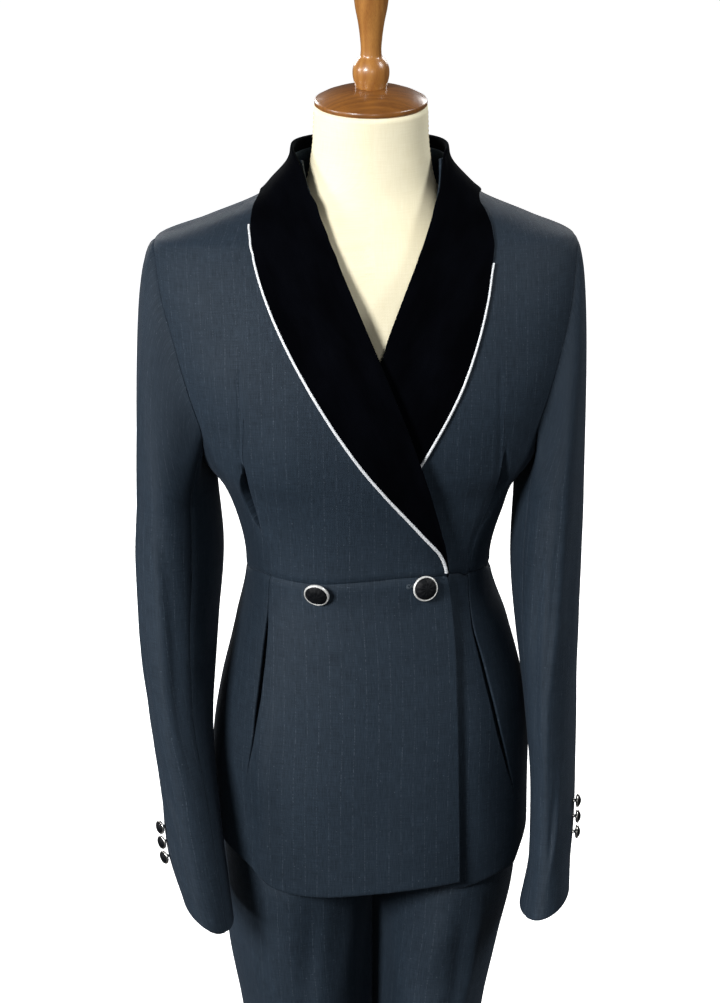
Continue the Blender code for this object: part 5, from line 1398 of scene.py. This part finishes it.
def makeCordTree():
    # sweeps a round cord along the path, thinner where the path says so
    tree, given, result = newTree("cordAlongEdge", [
        ("Radius", "NodeSocketFloat", 0.0015), ("Sides", "NodeSocketInt", 14),
        ("Material", "NodeSocketMaterial", None)])
    path = addNode(tree, "GeometryNodeMeshToCurve", {"Mesh": given.outputs["Geometry"]})
    walk = addNode(tree, "GeometryNodeSplineParameter")
    circle = addNode(tree, "GeometryNodeCurvePrimitiveCircle", {
        "Resolution": given.outputs["Sides"], "Radius": given.outputs["Radius"]})
    turn = addNode(tree, "GeometryNodeSplineParameter")
    sweep = addNode(tree, "GeometryNodeCurveToMesh", {
        "Fill Caps": True,
        "Curve": stored(tree, path.outputs["Curve"], "along", walk.outputs["Length"]),
        "Profile Curve": stored(tree, circle.outputs["Curve"], "round", turn.outputs["Factor"]),
        "Scale": recalled(tree, "taper", "FLOAT")})
    return painted(tree, given, result, sweep.outputs["Mesh"])


def makeStitchTree():
    # one arched stitch on each point, lying along "run" and standing towards "up"
    tree, given, result = newTree("stitches", [
        ("Length", "NodeSocketFloat", 0.0030), ("Rise", "NodeSocketFloat", 0.0006),
        ("Thread radius", "NodeSocketFloat", 0.0002), ("Unevenness", "NodeSocketFloat", 0.12),
        ("Seed", "NodeSocketInt", 7), ("Material", "NodeSocketMaterial", None)])
    length, uneven = given.outputs["Length"], given.outputs["Unevenness"]
    ends = {}
    for label, x, z in (("Start", calc(tree, "MULTIPLY", length, -0.5), 0.0),
                        ("Middle", 0.0, calc(tree, "MULTIPLY", given.outputs["Rise"], 2.0)),
                        ("End", calc(tree, "MULTIPLY", length, 0.5), 0.0)):
        ends[label] = addNode(tree, "ShaderNodeCombineXYZ", {"X": x, "Z": z}).outputs[0]
    arch = addNode(tree, "GeometryNodeCurveQuadraticBezier", {"Resolution": 6, **ends})
    circle = addNode(tree, "GeometryNodeCurvePrimitiveCircle", {
        "Resolution": 6, "Radius": given.outputs["Thread radius"]})
    sweep = addNode(tree, "GeometryNodeCurveToMesh", {
        "Fill Caps": True, "Curve": arch.outputs["Curve"], "Profile Curve": circle.outputs["Curve"]})
    axes = addNode(tree, "FunctionNodeAxesToRotation", {
        "Primary Axis": recalled(tree, "run", "FLOAT_VECTOR"),
        "Secondary Axis": recalled(tree, "up", "FLOAT_VECTOR")}, primary_axis="X", secondary_axis="Z")
    # 2 and 3 are the sockets of the least and the greatest size
    chance = addNode(tree, "FunctionNodeRandomValue", {
        2: calc(tree, "SUBTRACT", 1.0, uneven), 3: calc(tree, "ADD", 1.0, uneven),
        "Seed": given.outputs["Seed"]}, data_type="FLOAT")
    place = addNode(tree, "GeometryNodeInstanceOnPoints", {
        "Points": given.outputs["Geometry"], "Instance": sweep.outputs["Mesh"],
        "Rotation": axes.outputs["Rotation"], "Scale": chance.outputs[1]})
    return painted(tree, given, result, place.outputs["Instances"])


stitching = {"uneven": 0.12, "seed": 11}
cordTree = makeCordTree()
stitchTree = makeStitchTree()


def piping(side):
    path, taper = pipingPath(side)
    line = pointCloud(f"collarPiping{side}", path, edges=True, taper=taper)
    values = {"Radius": collar["pipingRadius"], "Sides": 16, "Material": finishes["piping"]}
    piece = grown(line, cordTree, values)
    return finish(piece, "piping", (f"piping_{side}",))


def stitchRow(name, points, run, up, material, slot, length, rise, radius):
    cloud = pointCloud(name, points, run=run, up=up)
    values = {"Length": length, "Rise": rise, "Thread radius": radius,
              "Unevenness": stitching["uneven"], "Seed": stitching["seed"],
              "Material": finishes[material]}
    finish(grown(cloud, stitchTree, values), material)


for side in ("R", "L"):
    bodiceFront(side)
    bodiceSide(side)
    bodiceBack(side)
    peplumFront(side)
    peplumStrip("Side", side, sideLine, backLine, peplum["sideColumns"])
    peplumStrip("Back", side, backLine, centreBackLine, peplum["backColumns"])
    shawl(side, [piping(side)])
print("jacket body and collar made")


sleeveSizes = {
    "fullness": {"R": 0.072, "L": 0.046},     # how strongly the sleeve head swells outwards
    "top": 1.165,                             # height where the sleeve head ends
    # first and last turn, number of columns, turn that the pinstripes are counted from
    "upperColumns": (-62.0, 138.0, 58, 30.0),
    "underColumns": (138.0, 298.0, 46, 218.0),
    "mapRadius": 0.06,                        # makes the turn round the sleeve a length
    "ripple": 0.0007,
    "hemExtra": 0.0014,
    "hemReach": 0.04,
    "seams": (-0.0649, 0.1445),
    "seamDip": 0.0007,
    "seamWidth": 0.0035,
    "endGap": 0.13,                           # degrees left open at each seam
    # how far the head starts inside the armhole's edge and outside it: everywhere, under the arm
    "startIn": (0.0003, 0.0009),
    "startOut": (-0.0006, 0.0017),
}


def makeArmhole(side):
    # the armhole's edge, evenly by length from the shoulder tip down each side
    steps = np.linspace(0, 1, 241)
    tip, bottom = jacketSizes["shoulderTip"], jacketSizes["armholeBottom"]
    height = tip + (bottom - tip) * (1 - np.cos(np.pi * steps)) / 2
    found = {}
    for column in ("frontTurn", "backTurn"):
        points = plainOval(signOf(side) * at(armholeTable, column, height), height)
        length = runningSum(np.linalg.norm(np.diff(points, axis=0), axis=1))
        found[column] = (length / length[-1], points)
    return found


armholes = {side: makeArmhole(side) for side in ("R", "L")}


def armholeLoop(side, around):
    around = np.mod(around, 360.0)
    forward = around <= 180
    drop = np.where(forward, around, 360 - around) / 180
    result = np.zeros(around.shape + (3,))
    for column, chosen in (("frontTurn", forward), ("backTurn", ~forward)):
        length, points = armholes[side][column]
        place = np.stack([np.interp(drop, length, points[:, i]) for i in range(3)], -1)
        result[chosen] = place[chosen]
    return result


def sleeveRing(side, around, z):
    table, sign = sleeveTable[side], signOf(side)
    angle = np.radians(around)
    aside, ahead = np.cos(angle), np.sin(angle)
    halfX, halfY = at(table, "halfX", z), at(table, "halfY", z)
    across = np.radians(np.mod(around + 180, 360) - 180) * sleeveSizes["mapRadius"]
    swell = creaseLift(across, z, sleeveCreases[side])
    seams = np.minimum(*(np.abs(across - seam) for seam in sleeveSizes["seams"]))
    swell = swell - sleeveSizes["seamDip"] * np.exp(-(seams / sleeveSizes["seamWidth"]) ** 2)
    wave = ripples(np.cos(angle) * 0.05, z + 0.03 * np.sin(angle), sleeveSizes["ripple"], 3.0)
    swell = swell + wave
    out, back = aside * (halfX + swell), -ahead * (halfY + swell)
    lean = np.radians(at(table, "turn", z))
    x = sign * (out * np.cos(lean) + back * np.sin(lean))
    y = back * np.cos(lean) - out * np.sin(lean)
    level = z + at(table, "rise", z) * out
    return np.stack([at(table, "centreX", z) + x, at(table, "centreY", z) + y, level], axis=-1)


def underArm(around):
    # 0 on top of the shoulder, 1 under the arm
    return (1 - np.cos(np.radians(around)))[..., None] / 2


def sleeveStart(side, around):
    loop = armholeLoop(side, around)
    centre = armholeLoop(side, np.array([0.0, 90.0, 180.0, 270.0])).mean(axis=0)
    inward = unit(centre - loop)
    outward = np.array([signOf(side), 0.0, -0.3])
    # the head butts against the armhole's edge, and under the arm it hangs just outside it
    under = underArm(around) ** 2
    into, moreIn = sleeveSizes["startIn"]
    out, moreOut = sleeveSizes["startOut"]
    return loop + inward * (into + moreIn * under) + outward * (out + moreOut * under)


def sleeveSurface(side, a, f):
    a, f = np.broadcast_arrays(np.asarray(a, float), np.asarray(f, float))
    low, top = sleeveTable[side]["key"][0], sleeveSizes["top"]
    z = top + (low - top) * np.clip(f - 1, 0, 1)
    below = sleeveRing(side, a, z)
    start = sleeveStart(side, a)
    end = sleeveRing(side, a, np.full(a.shape, top))
    p = np.clip(f, 0, 1)[..., None]
    reach = np.linalg.norm(end - start, axis=-1, keepdims=True)
    under = underArm(a)
    # the head leaves the armhole outwards on top, and downwards under the arm
    out = unit(np.concatenate([signOf(side) * (1.0 - 0.9 * under), 0 * under, -0.15 - 0.85 * under],
                              -1))
    pull = sleeveSizes["fullness"][side] * (1 - under) + 0.45 * reach * under
    down = np.array([0.0, 0.0, -1.0]) * reach * 0.9
    return np.where(f[..., None] <= 1, hermite(p, start, end, out * pull, down), below)


def sleeveNormals(side, a, f):
    def surface(u, v):
        return sleeveSurface(side, u, v)
    return signOf(side) * surfaceNormals(surface, a, f, 1.0, 0.002)


def sleevePiece(word, side, first, last, count, stripeTurn):
    falls = np.concatenate([[0, 0.014], np.linspace(0.035, 1, 44), np.linspace(1, 2, 100)[1:-1],
                            [1.9955, 2]])
    around = first + (last - first) * edgedShares(count)
    around[0] += sleeveSizes["endGap"]
    around[-1] -= sleeveSizes["endGap"]
    around, fall = np.meshgrid(around, falls)
    outer = sleeveSurface(side, around, fall)
    normal = sleeveNormals(side, around, fall)
    low, top = sleeveTable[side]["key"][0], sleeveSizes["top"]
    rise = (2 - fall) * (top - low)
    thick = jacketSizes["cloth"] + edgeThickness(rise, sleeveSizes["hemExtra"], sleeveSizes["hemReach"])
    across = lengthsAcross(outer, around[0], stripeTurn)
    drops = np.linalg.norm(np.diff(outer, axis=0), axis=2).mean(axis=1)
    along = -runningSum(drops)[:, None] * np.ones(outer.shape[1])
    sewn(f"{word}Sleeve{side}", f"sleeve_{word}_{side}", outer, normal, thick,
         np.stack([across, along], -1))


for side in ("R", "L"):
    sleevePiece("upper", side, *sleeveSizes["upperColumns"])
    sleevePiece("under", side, *sleeveSizes["underColumns"])
print("sleeves made")


trousers = {
    "cloth": 0.0015,
    "hem": 0.090,
    "hemExtra": 0.0014,
    "band": (1.086, 1.120),
    "crotch": (0.785, 0.862),         # heights between which one oval becomes two legs
    "legGap": 0.0004,
    "nest": 0.0035,                   # how far each leg leans into the other at the inseam
    "nestReach": (0.012, 0.020),      # front to back, side to side
    "columns": 54,
    "rowStep": 0.0060,
    "ripple": 0.0009,
    "hipPower": 0.87,
    "legPower": 1.12,
    "mapWidth": 0.20,                 # of half a leg, on the crease map
    "radius": 0.09,
    "inseamGap": 0.0002,
    "edgeOut": 0.00015,               # how far each side seam and inseam edge stands out
    "hemReach": 0.04,
    "hemEdge": 0.0018,                # height of the lowest row, which holds the hem's rounding
    "bandGap": 0.0003,
    "bandPower": 2.3,
    "bandRadius": 0.105,
    "bandDepth": 0.085,
}


def trouserSurface(side, front, share, z):
    sign = signOf(side)
    width = at(trouserTable, "right" if side == "R" else "left", z)
    depth = at(trouserTable, "front" if front else "back", z)
    away = -1.0 if front else 1.0
    quarter = np.radians(90 * (1 - share))
    power = trousers["hipPower"]
    hipX, hipY = np.sin(quarter) ** power * width, np.cos(quarter) ** power * depth * away
    halfAngle = np.pi * share
    ahead = np.abs(np.sin(halfAngle)) ** trousers["legPower"]
    gap = trousers["legGap"]
    middle, half = (width + gap) / 2, (width - gap) / 2
    legX, legY = middle + half * np.cos(halfAngle), ahead * depth * away
    split = 1 - smoothStep(z, *trousers["crotch"])
    x = hipX * (1 - split) + legX * split
    y = hipY * (1 - split) + legY * split
    across = share * trousers["mapWidth"] * -away
    lift = creaseLift(across, z, trouserCreases[side])
    lift = lift + ripples(across, z, trousers["ripple"], 5.0 if side == "R" else 8.0)
    lift = lift * np.sin(np.pi * np.clip(share, 0, 1)) ** 0.5
    reach = 1 + lift / trousers["radius"]
    x = middle + (x - middle) * reach
    x, y = sign * np.maximum(x, trousers["inseamGap"]), y * reach
    # the legs lie into each other along the inseam, so that no light shows between them
    deep, wide = trousers["nestReach"]
    x = x + trousers["nest"] * np.tanh(-y / deep) * np.exp(-(x / wide) ** 2) * split
    return np.stack(np.broadcast_arrays(x, y, z), -1)


def trouserPanel(side, front):
    facing = -1.0 if front else 1.0
    top = trousers["band"][0] - trousers["bandGap"]
    count = int((top - trousers["hem"]) / trousers["rowStep"])
    heights = np.linspace(trousers["hem"], top, count)
    heights = np.concatenate([[heights[0], heights[0] + trousers["hemEdge"]], heights[1:]])
    share, z = np.meshgrid(edgedShares(trousers["columns"]), heights)

    def surface(s, h):
        return trouserSurface(side, front, np.clip(s, 0, 1), h)

    normal = surfaceNormals(surface, np.clip(share, 0.004, 0.996), z, 0.004, 0.001)
    normal = normal * signOf(side) * facing
    outer = surface(share, z)
    inseam = (1 - smoothStep(z, *trousers["crotch"])) * share**8
    for edge in ((1 - share) ** 8, inseam):
        outer[..., 1] += facing * trousers["edgeOut"] * edge
    thick = trousers["cloth"] + edgeThickness(z - trousers["hem"], trousers["hemExtra"],
                                              trousers["hemReach"])
    across = lengthsAcross(outer, share[0], 0.5)
    word = "Front" if front else "Back"
    sewn(f"trouser{word}{side}", f"trouser_{word.lower()}_{side}", outer, normal, thick,
         np.stack([across, z], -1))


def waistband():
    turns = np.arange(0, 360, 4.0)
    low, high = trousers["band"]
    turn, z = np.meshgrid(turns, np.linspace(low, high, 8))
    x, y = oval(turn, 1.0, at(trouserTable, "front", z), at(trouserTable, "back", z),
                trousers["bandPower"])
    width = np.where(x < 0, at(trouserTable, "right", z), at(trouserTable, "left", z))
    outer = np.stack([x * width, y, z], -1)
    normal = unit(np.stack([x, y / trousers["bandDepth"], 0 * x], -1))
    across = np.radians(turn) * trousers["bandRadius"]
    sewn("trouserBand", "waistband", outer, normal, trousers["cloth"] * 1.6,
         np.stack([across, z], -1),
         wrap=2 * math.pi * trousers["bandRadius"])


for side in ("R", "L"):
    trouserPanel(side, True)
    trouserPanel(side, False)
waistband()
print("trousers made")


def turned(name, profile, sides, foot, axis, material, nodes=(), ripple=None):
    # solid turned about its axis from (radius, height) pairs, foot to top
    axis, foot = unit(np.asarray(axis, float)), np.asarray(foot)
    across = unit(np.cross([0.0, -1.0, 0.0] if abs(axis[2]) > 0.9 else [0.0, 0.0, 1.0], axis))
    up = np.cross(axis, across)
    angle = np.arange(sides) * 2 * math.pi / sides
    profile = np.asarray(profile, float)
    points, faces = [], []
    inner = profile[1:-1]
    for radius, height in inner:
        r, h = np.full(sides, radius), np.full(sides, height)
        if ripple is not None:
            r, h = ripple(angle, r, h)
        ring = (np.cos(angle) * r)[:, None] * across + (np.sin(angle) * r)[:, None] * up
        points.append(foot + ring + h[:, None] * axis)
    points.append([foot + axis * profile[0][1], foot + axis * profile[-1][1]])
    points = np.concatenate(points)
    low, high = len(points) - 2, len(points) - 1
    rings = len(inner)
    for i in range(sides):
        j = (i + 1) % sides
        for k in range(rings - 1):
            faces.append([k * sides + i, k * sides + j, (k + 1) * sides + j, (k + 1) * sides + i])
        faces.append([low, j, i])
        faces.append([high, (rings - 1) * sides + i, (rings - 1) * sides + j])
    return finish(newPiece(name, points, faces), material, nodes)


def smoothProfile(rows, steps):
    # a rounded outline through a few (radius, height) pairs
    rows = np.asarray(rows, float)
    lengths = runningSum(np.hypot(*np.diff(rows, axis=0).T))
    fine = np.linspace(0, lengths[-1], steps)
    found = []
    for column in (0, 1):
        values = rows[:, column]
        slopes = np.gradient(values, lengths)
        i = np.clip(np.searchsorted(lengths, fine, side="right") - 1, 0, len(rows) - 2)
        step = lengths[i + 1] - lengths[i]
        found.append(hermite((fine - lengths[i]) / step, values[i], values[i + 1],
                             step * slopes[i], step * slopes[i + 1]))
    found = np.stack(found, axis=1)
    found[:, 0] = np.maximum(found[:, 0], 1e-5)
    found[0], found[-1] = rows[0], rows[-1]
    return found


frontButtons = {
    "radius": 0.0118,
    "rim": 0.0015,                    # width of the metal ring
    "knots": 5,                       # strands each way in the woven dome
    "bow": 5.5,                       # radians that a strand turns from the middle to the rim
    "relief": 0.00030,
    # name, x, z, droop in degrees, foot above the cloth
    "places": [("right", -0.0522, 1.0940, -22.0, 0.0050), ("left", 0.0436, 1.0970, 6.0, 0.0016)],
}


def frontButton(name, x, z, droop, foot):
    turn = bodyTurn(x, z)
    plain = surfaceNormals(plainOval, turn, np.asarray(z), 0.5, 0.001)
    lean = math.radians(droop)
    axis = unit(np.array([plain[0], plain[1], plain[2] + math.tan(lean)]))
    seat = jacket("R", turn, np.asarray(z), foot)
    r, rim = frontButtons["radius"], frontButtons["rim"]
    ring = [(0.0, 0.0), (r * 0.20, 0.0), (r * 0.75, 0.0001), (r * 0.93, 0.0009), (r, 0.0022),
            (r * 0.995, 0.0034), (r * 0.955, 0.0042), (r * 0.90, 0.0043), (r - rim, 0.0038),
            (r - rim * 1.15, 0.0032), (r * 0.4, 0.0031), (0.0, 0.0031)]
    turned(f"buttonRing{name.title()}", smoothProfile(ring, 60), 96, seat, axis,
           "rim", (f"button_ring_{name}",))
    outer = r - rim * 1.02
    dome = [(0.0, 0.0031)] + [(outer * math.cos(t), 0.0034 + 0.0042 * math.sin(t))
                              for t in np.linspace(0, math.pi / 2, 34)[:-1]] + [(0.0, 0.0076)]
    knots = frontButtons["knots"]

    def weave(angle, radius, height):
        reach = radius / outer
        bow = reach * frontButtons["bow"]
        over = np.sin(knots * angle + bow) * np.sin(knots * angle - bow)
        fade = np.clip(reach * 2.4, 0, 1) * np.clip((1 - reach) * 6, 0, 1)
        return radius, height + frontButtons["relief"] * over * fade

    turned(f"buttonDome{name.title()}", dome, 96, seat, axis,
           "button_cap", (f"button_cap_{name}",), weave)
    if foot > 0.003:
        end = foot - 0.0008
        shank = [(0.0, 0.0), (0.0019, 0.0), (0.0017, foot * 0.5), (0.0019, end), (0.0, end)]
        base = jacket("R", turn, np.asarray(z), 0.0002)
        turned("buttonShankRight", shank, 20, base, seat - base, "greyThread")


cuffButtons = {
    "radius": 0.0065,
    "facets": 10,
    # degrees round the sleeve, degrees drooping to the front, heights above the hem
    "R": (25.0, 25.0, (0.052, 0.067, 0.082)),
    "L": (8.0, 0.0, (0.062, 0.077, 0.092)),
    "shank": (0.0016, 0.0032),        # radius, height
    "lift": 0.0003,
}


def cuffButton(side, number, rise):
    around, droop, _ = cuffButtons[side]
    low, top = sleeveTable[side]["key"][0], sleeveSizes["top"]
    fall = 2 - rise / (top - low)
    a, f = np.array([around]), np.array([fall])
    out = sleeveNormals(side, a, f)[0]
    seat = sleeveSurface(side, a, f)[0] + out * cuffButtons["lift"]
    ahead = np.array([0.0, -1.0, 0.0])
    ahead -= out * np.dot(ahead, out)
    lean = math.radians(droop)
    axis = out * math.cos(lean) + ahead * math.sin(lean)
    stem, foot = cuffButtons["shank"]
    seat = seat + out * stem * math.sin(lean)
    r = cuffButtons["radius"]
    ring = [(0.0, 0.0), (stem, 0.0), (stem, foot * 0.7), (r * 0.55, foot * 0.92),
            (r * 0.88, foot + 0.0002), (r, foot + 0.0010), (r * 0.99, foot + 0.0019),
            (r * 0.90, foot + 0.0025), (r * 0.80, foot + 0.0024), (0.0, foot + 0.0022)]
    turned(f"cuffButton{side}{number}", smoothProfile(ring, 44), 48, seat, axis,
           "silver", (f"sleeve_button_{side}_{number}",))
    face = [(0.0, foot + 0.0021), (r * 0.82, foot + 0.0022), (r * 0.80, foot + 0.0027),
            (r * 0.56, foot + 0.0037), (r * 0.26, foot + 0.0044), (0.0, foot + 0.0046)]
    gem = turned(f"cuffGem{side}{number}", face, cuffButtons["facets"], seat, axis,
                 "button_cap")
    gem.data.shade_flat()


for place in frontButtons["places"]:
    frontButton(*place)
for side in ("R", "L"):
    for number, rise in enumerate(cuffButtons[side][2], start=1):
        cuffButton(side, number, rise)
print("buttons made")


buttonhole = {
    "x": 0.0350, "z": 1.0990, "length": 0.0085, "eye": 0.0017, "stitches": 40,
    "stitch": (0.0017, 0.00035, 0.00017),     # length, rise, radius of the thread
    "lift": 0.0002,
}


def makeButtonhole():
    # keyhole outline on the right front, worked over with purl stitches
    half, eye = buttonhole["length"] / 2, buttonhole["eye"]
    share = np.linspace(0, 1, buttonhole["stitches"], endpoint=False)
    straight, turnLength = half * 2, math.pi * eye * 1.5
    total = straight * 2 + turnLength + math.pi * eye * 0.5
    outline, facing = [], []
    for s in share * total:
        if s < straight:
            outline.append((half - s, eye * 0.42))
            facing.append((0.0, 1.0))
        elif s < straight + turnLength:
            angle = math.pi * 0.25 + (s - straight) / turnLength * math.pi * 1.5
            outline.append((-half - eye * 0.6 + eye * math.cos(angle), eye * math.sin(angle)))
            facing.append((math.cos(angle), math.sin(angle)))
        elif s < straight * 2 + turnLength:
            outline.append((-half + (s - straight - turnLength), -eye * 0.42))
            facing.append((0.0, -1.0))
        else:
            angle = -math.pi / 2 + (s - straight * 2 - turnLength) / (math.pi * eye * 0.5) * math.pi
            outline.append((half + eye * 0.3 * math.cos(angle), eye * 0.42 * math.sin(angle)))
            facing.append((math.cos(angle), math.sin(angle)))
    outline, facing = np.array(outline), np.array(facing)
    x, z = buttonhole["x"] + outline[:, 0], buttonhole["z"] + outline[:, 1]
    turn = bodyTurn(x, z)
    points = jacket("R", turn, z, buttonhole["lift"])
    up = bodyNormals(turn, z)
    nextX, nextZ = x + facing[:, 0] * 0.001, z + facing[:, 1] * 0.001
    run = unit(jacket("R", bodyTurn(nextX, nextZ), nextZ, buttonhole["lift"]) - points)
    stitchRow("buttonholeStitches", points, run, up, "greyThread", "silver",
              *buttonhole["stitch"])


makeButtonhole()
print("stitches made")


form = {
    "sides": 96,
    "neckPlane": 1.5245,
    "capTilt": 3.5,                   # degrees that the wooden cap leans forward
    "leanFrom": 1.480,                # height from which the neck begins to lean with it
    "rings": 130,
    "seamTurns": (-90.0, 90.0),
    "seamEnds": (0.90, 1.518),
    "stitchStep": 0.0042,
    "stitch": (0.0030, 0.0003, 0.00022),      # length, rise, radius of the thread
}


def formTorso():
    # closed skin of ovals, its neck leaning forward with the wooden cap
    low, high = torsoTable["key"][0], form["neckPlane"]
    heights = np.linspace(low, high, form["rings"])
    sides = form["sides"]
    turns = np.arange(sides) * 360 / sides
    turn, z = np.meshgrid(turns, heights)
    x, y = tableOval(torsoTable, turn, z)
    girth = np.linalg.norm(np.diff(np.stack([x, y], -1), axis=1), axis=2)
    across = runningSum(girth)
    near = smoothStep(z, form["leanFrom"], high)
    along = z.copy()
    z = z + y * math.tan(math.radians(form["capTilt"])) * near
    points = np.stack([x, y, z], -1)
    faces = gridFaces(len(heights), sides, wrap=True)
    flat = points.reshape(-1, 3)
    uv = np.stack([across, along], -1).reshape(-1, 2)
    cornerUv = uv[faces]
    rounds = (across[:, -1] + girth[:, -1])[:-1].repeat(sides)
    closeRound(cornerUv, rounds[:, None])
    caps = np.array([[0.0, 0.0, low], [0.0, 0.0, high]])
    count = len(flat)
    allPoints = np.concatenate([flat, caps])
    top = (len(heights) - 1) * sides
    extra, extraUv = [], []
    for i in range(sides):
        j = (i + 1) % sides
        for trio in ([count, j, i], [count + 1, top + i, top + j]):
            extra.append(trio)
            extraUv += [(allPoints[v][0], allPoints[v][1]) for v in trio]
    allFaces = faces.tolist() + extra
    corner = np.concatenate([cornerUv.reshape(-1, 2), np.array(extraUv)])
    piece = newPiece("formCover", allPoints, allFaces, corner)
    finish(piece, "cover", ("form_torso",))


def seamThread():
    # a row of stitches up each side of the cover
    points, runs, ups = [], [], []
    for turn in form["seamTurns"]:
        for z in np.arange(*form["seamEnds"], form["stitchStep"]):
            place, above = (np.array([*tableOval(torsoTable, turn, h), h]) for h in (z, z + 0.001))
            run = unit(above - place)
            out = np.array([math.copysign(1.0, turn), 0.0, 0.0])
            points.append(place)
            runs.append(run)
            ups.append(unit(out - run * np.dot(out, run)))
    stitchRow("coverStitches", np.array(points), np.array(runs), np.array(ups),
              "creamThread", "cover", *form["stitch"])


capProfile = [
    (0.0000, 0.0000), (0.0500, 0.0000), (0.0510, 0.0008), (0.0512, 0.0022), (0.0512, 0.0040),
    (0.0506, 0.0051), (0.0494, 0.0058), (0.0430, 0.0092), (0.0340, 0.0125), (0.0240, 0.0150),
    (0.0150, 0.0163), (0.0000, 0.0165)]
finialProfile = [
    (0.0000, 0.0000), (0.0142, 0.0000), (0.0146, 0.0020), (0.0155, 0.0050), (0.0167, 0.0120),
    (0.0160, 0.0190), (0.0128, 0.0250), (0.0098, 0.0285), (0.0094, 0.0320), (0.0100, 0.0440),
    (0.0118, 0.0580), (0.0148, 0.0740), (0.0160, 0.0860), (0.0155, 0.0980), (0.0128, 0.1090),
    (0.0080, 0.1165), (0.0000, 0.1190)]
stand = {
    "radius": 0.240, "height": 0.028, "poleRadius": 0.015, "poleX": 0.064, "poleTop": 0.8677,
    "gap": 0.0003,                    # between one piece of wood and the next
}


def woodenParts():
    lean = math.radians(form["capTilt"])
    axis = (0.0, -math.sin(lean), math.cos(lean))
    foot = (0.0, 0.0, form["neckPlane"] + stand["gap"])
    turned("neckCap", capProfile, 128, foot, axis, "discWood", ("neck_cap",))
    rise = capProfile[-1][1] + stand["gap"]
    seat = (0.0, -rise * math.sin(lean), foot[2] + rise * math.cos(lean))
    turned("neckFinial", smoothProfile(finialProfile, 90), 72, seat, axis,
           "wood", ("neck_finial",))
    r, bottom = stand["poleRadius"], stand["height"] + stand["gap"]
    length = stand["poleTop"] - bottom
    pole = [(0.0, 0.0), (r - 0.001, 0.0), (r, 0.001)]
    pole += [(r, h) for h in np.linspace(0.02, length - 0.02, 20)]
    pole += [(r, length - 0.001), (r - 0.001, length), (0.0, length)]
    turned("standPole", pole, 48, (stand["poleX"], 0.0, bottom), (0, 0, 1),
           "wood", ("stand_pole",))
    radius, height = stand["radius"], stand["height"]
    disc = [(0.0, 0.0), (radius - 0.0020, 0.0), (radius - 0.0005, 0.0006), (radius, 0.0020)]
    disc += [(radius, 0.010), (radius, height - 0.008), (radius - 0.0006, height - 0.0048),
             (radius - 0.0022, height - 0.0022), (radius - 0.0048, height - 0.0006),
             (radius - 0.008, height)]
    disc += [(reach, height) for reach in np.linspace(radius - 0.02, 0.02, 12)] + [(0.0, height)]
    turned("standBase", disc, 180, (0.0, 0.0, 0.0), (0, 0, 1),
           "discWood", ("stand_base",))


formTorso()
seamThread()
woodenParts()
print("form and stand made")

for row in sheetSizes:
    print("sheet %s: %.3f x %.3f m, %.4f m2" % row)
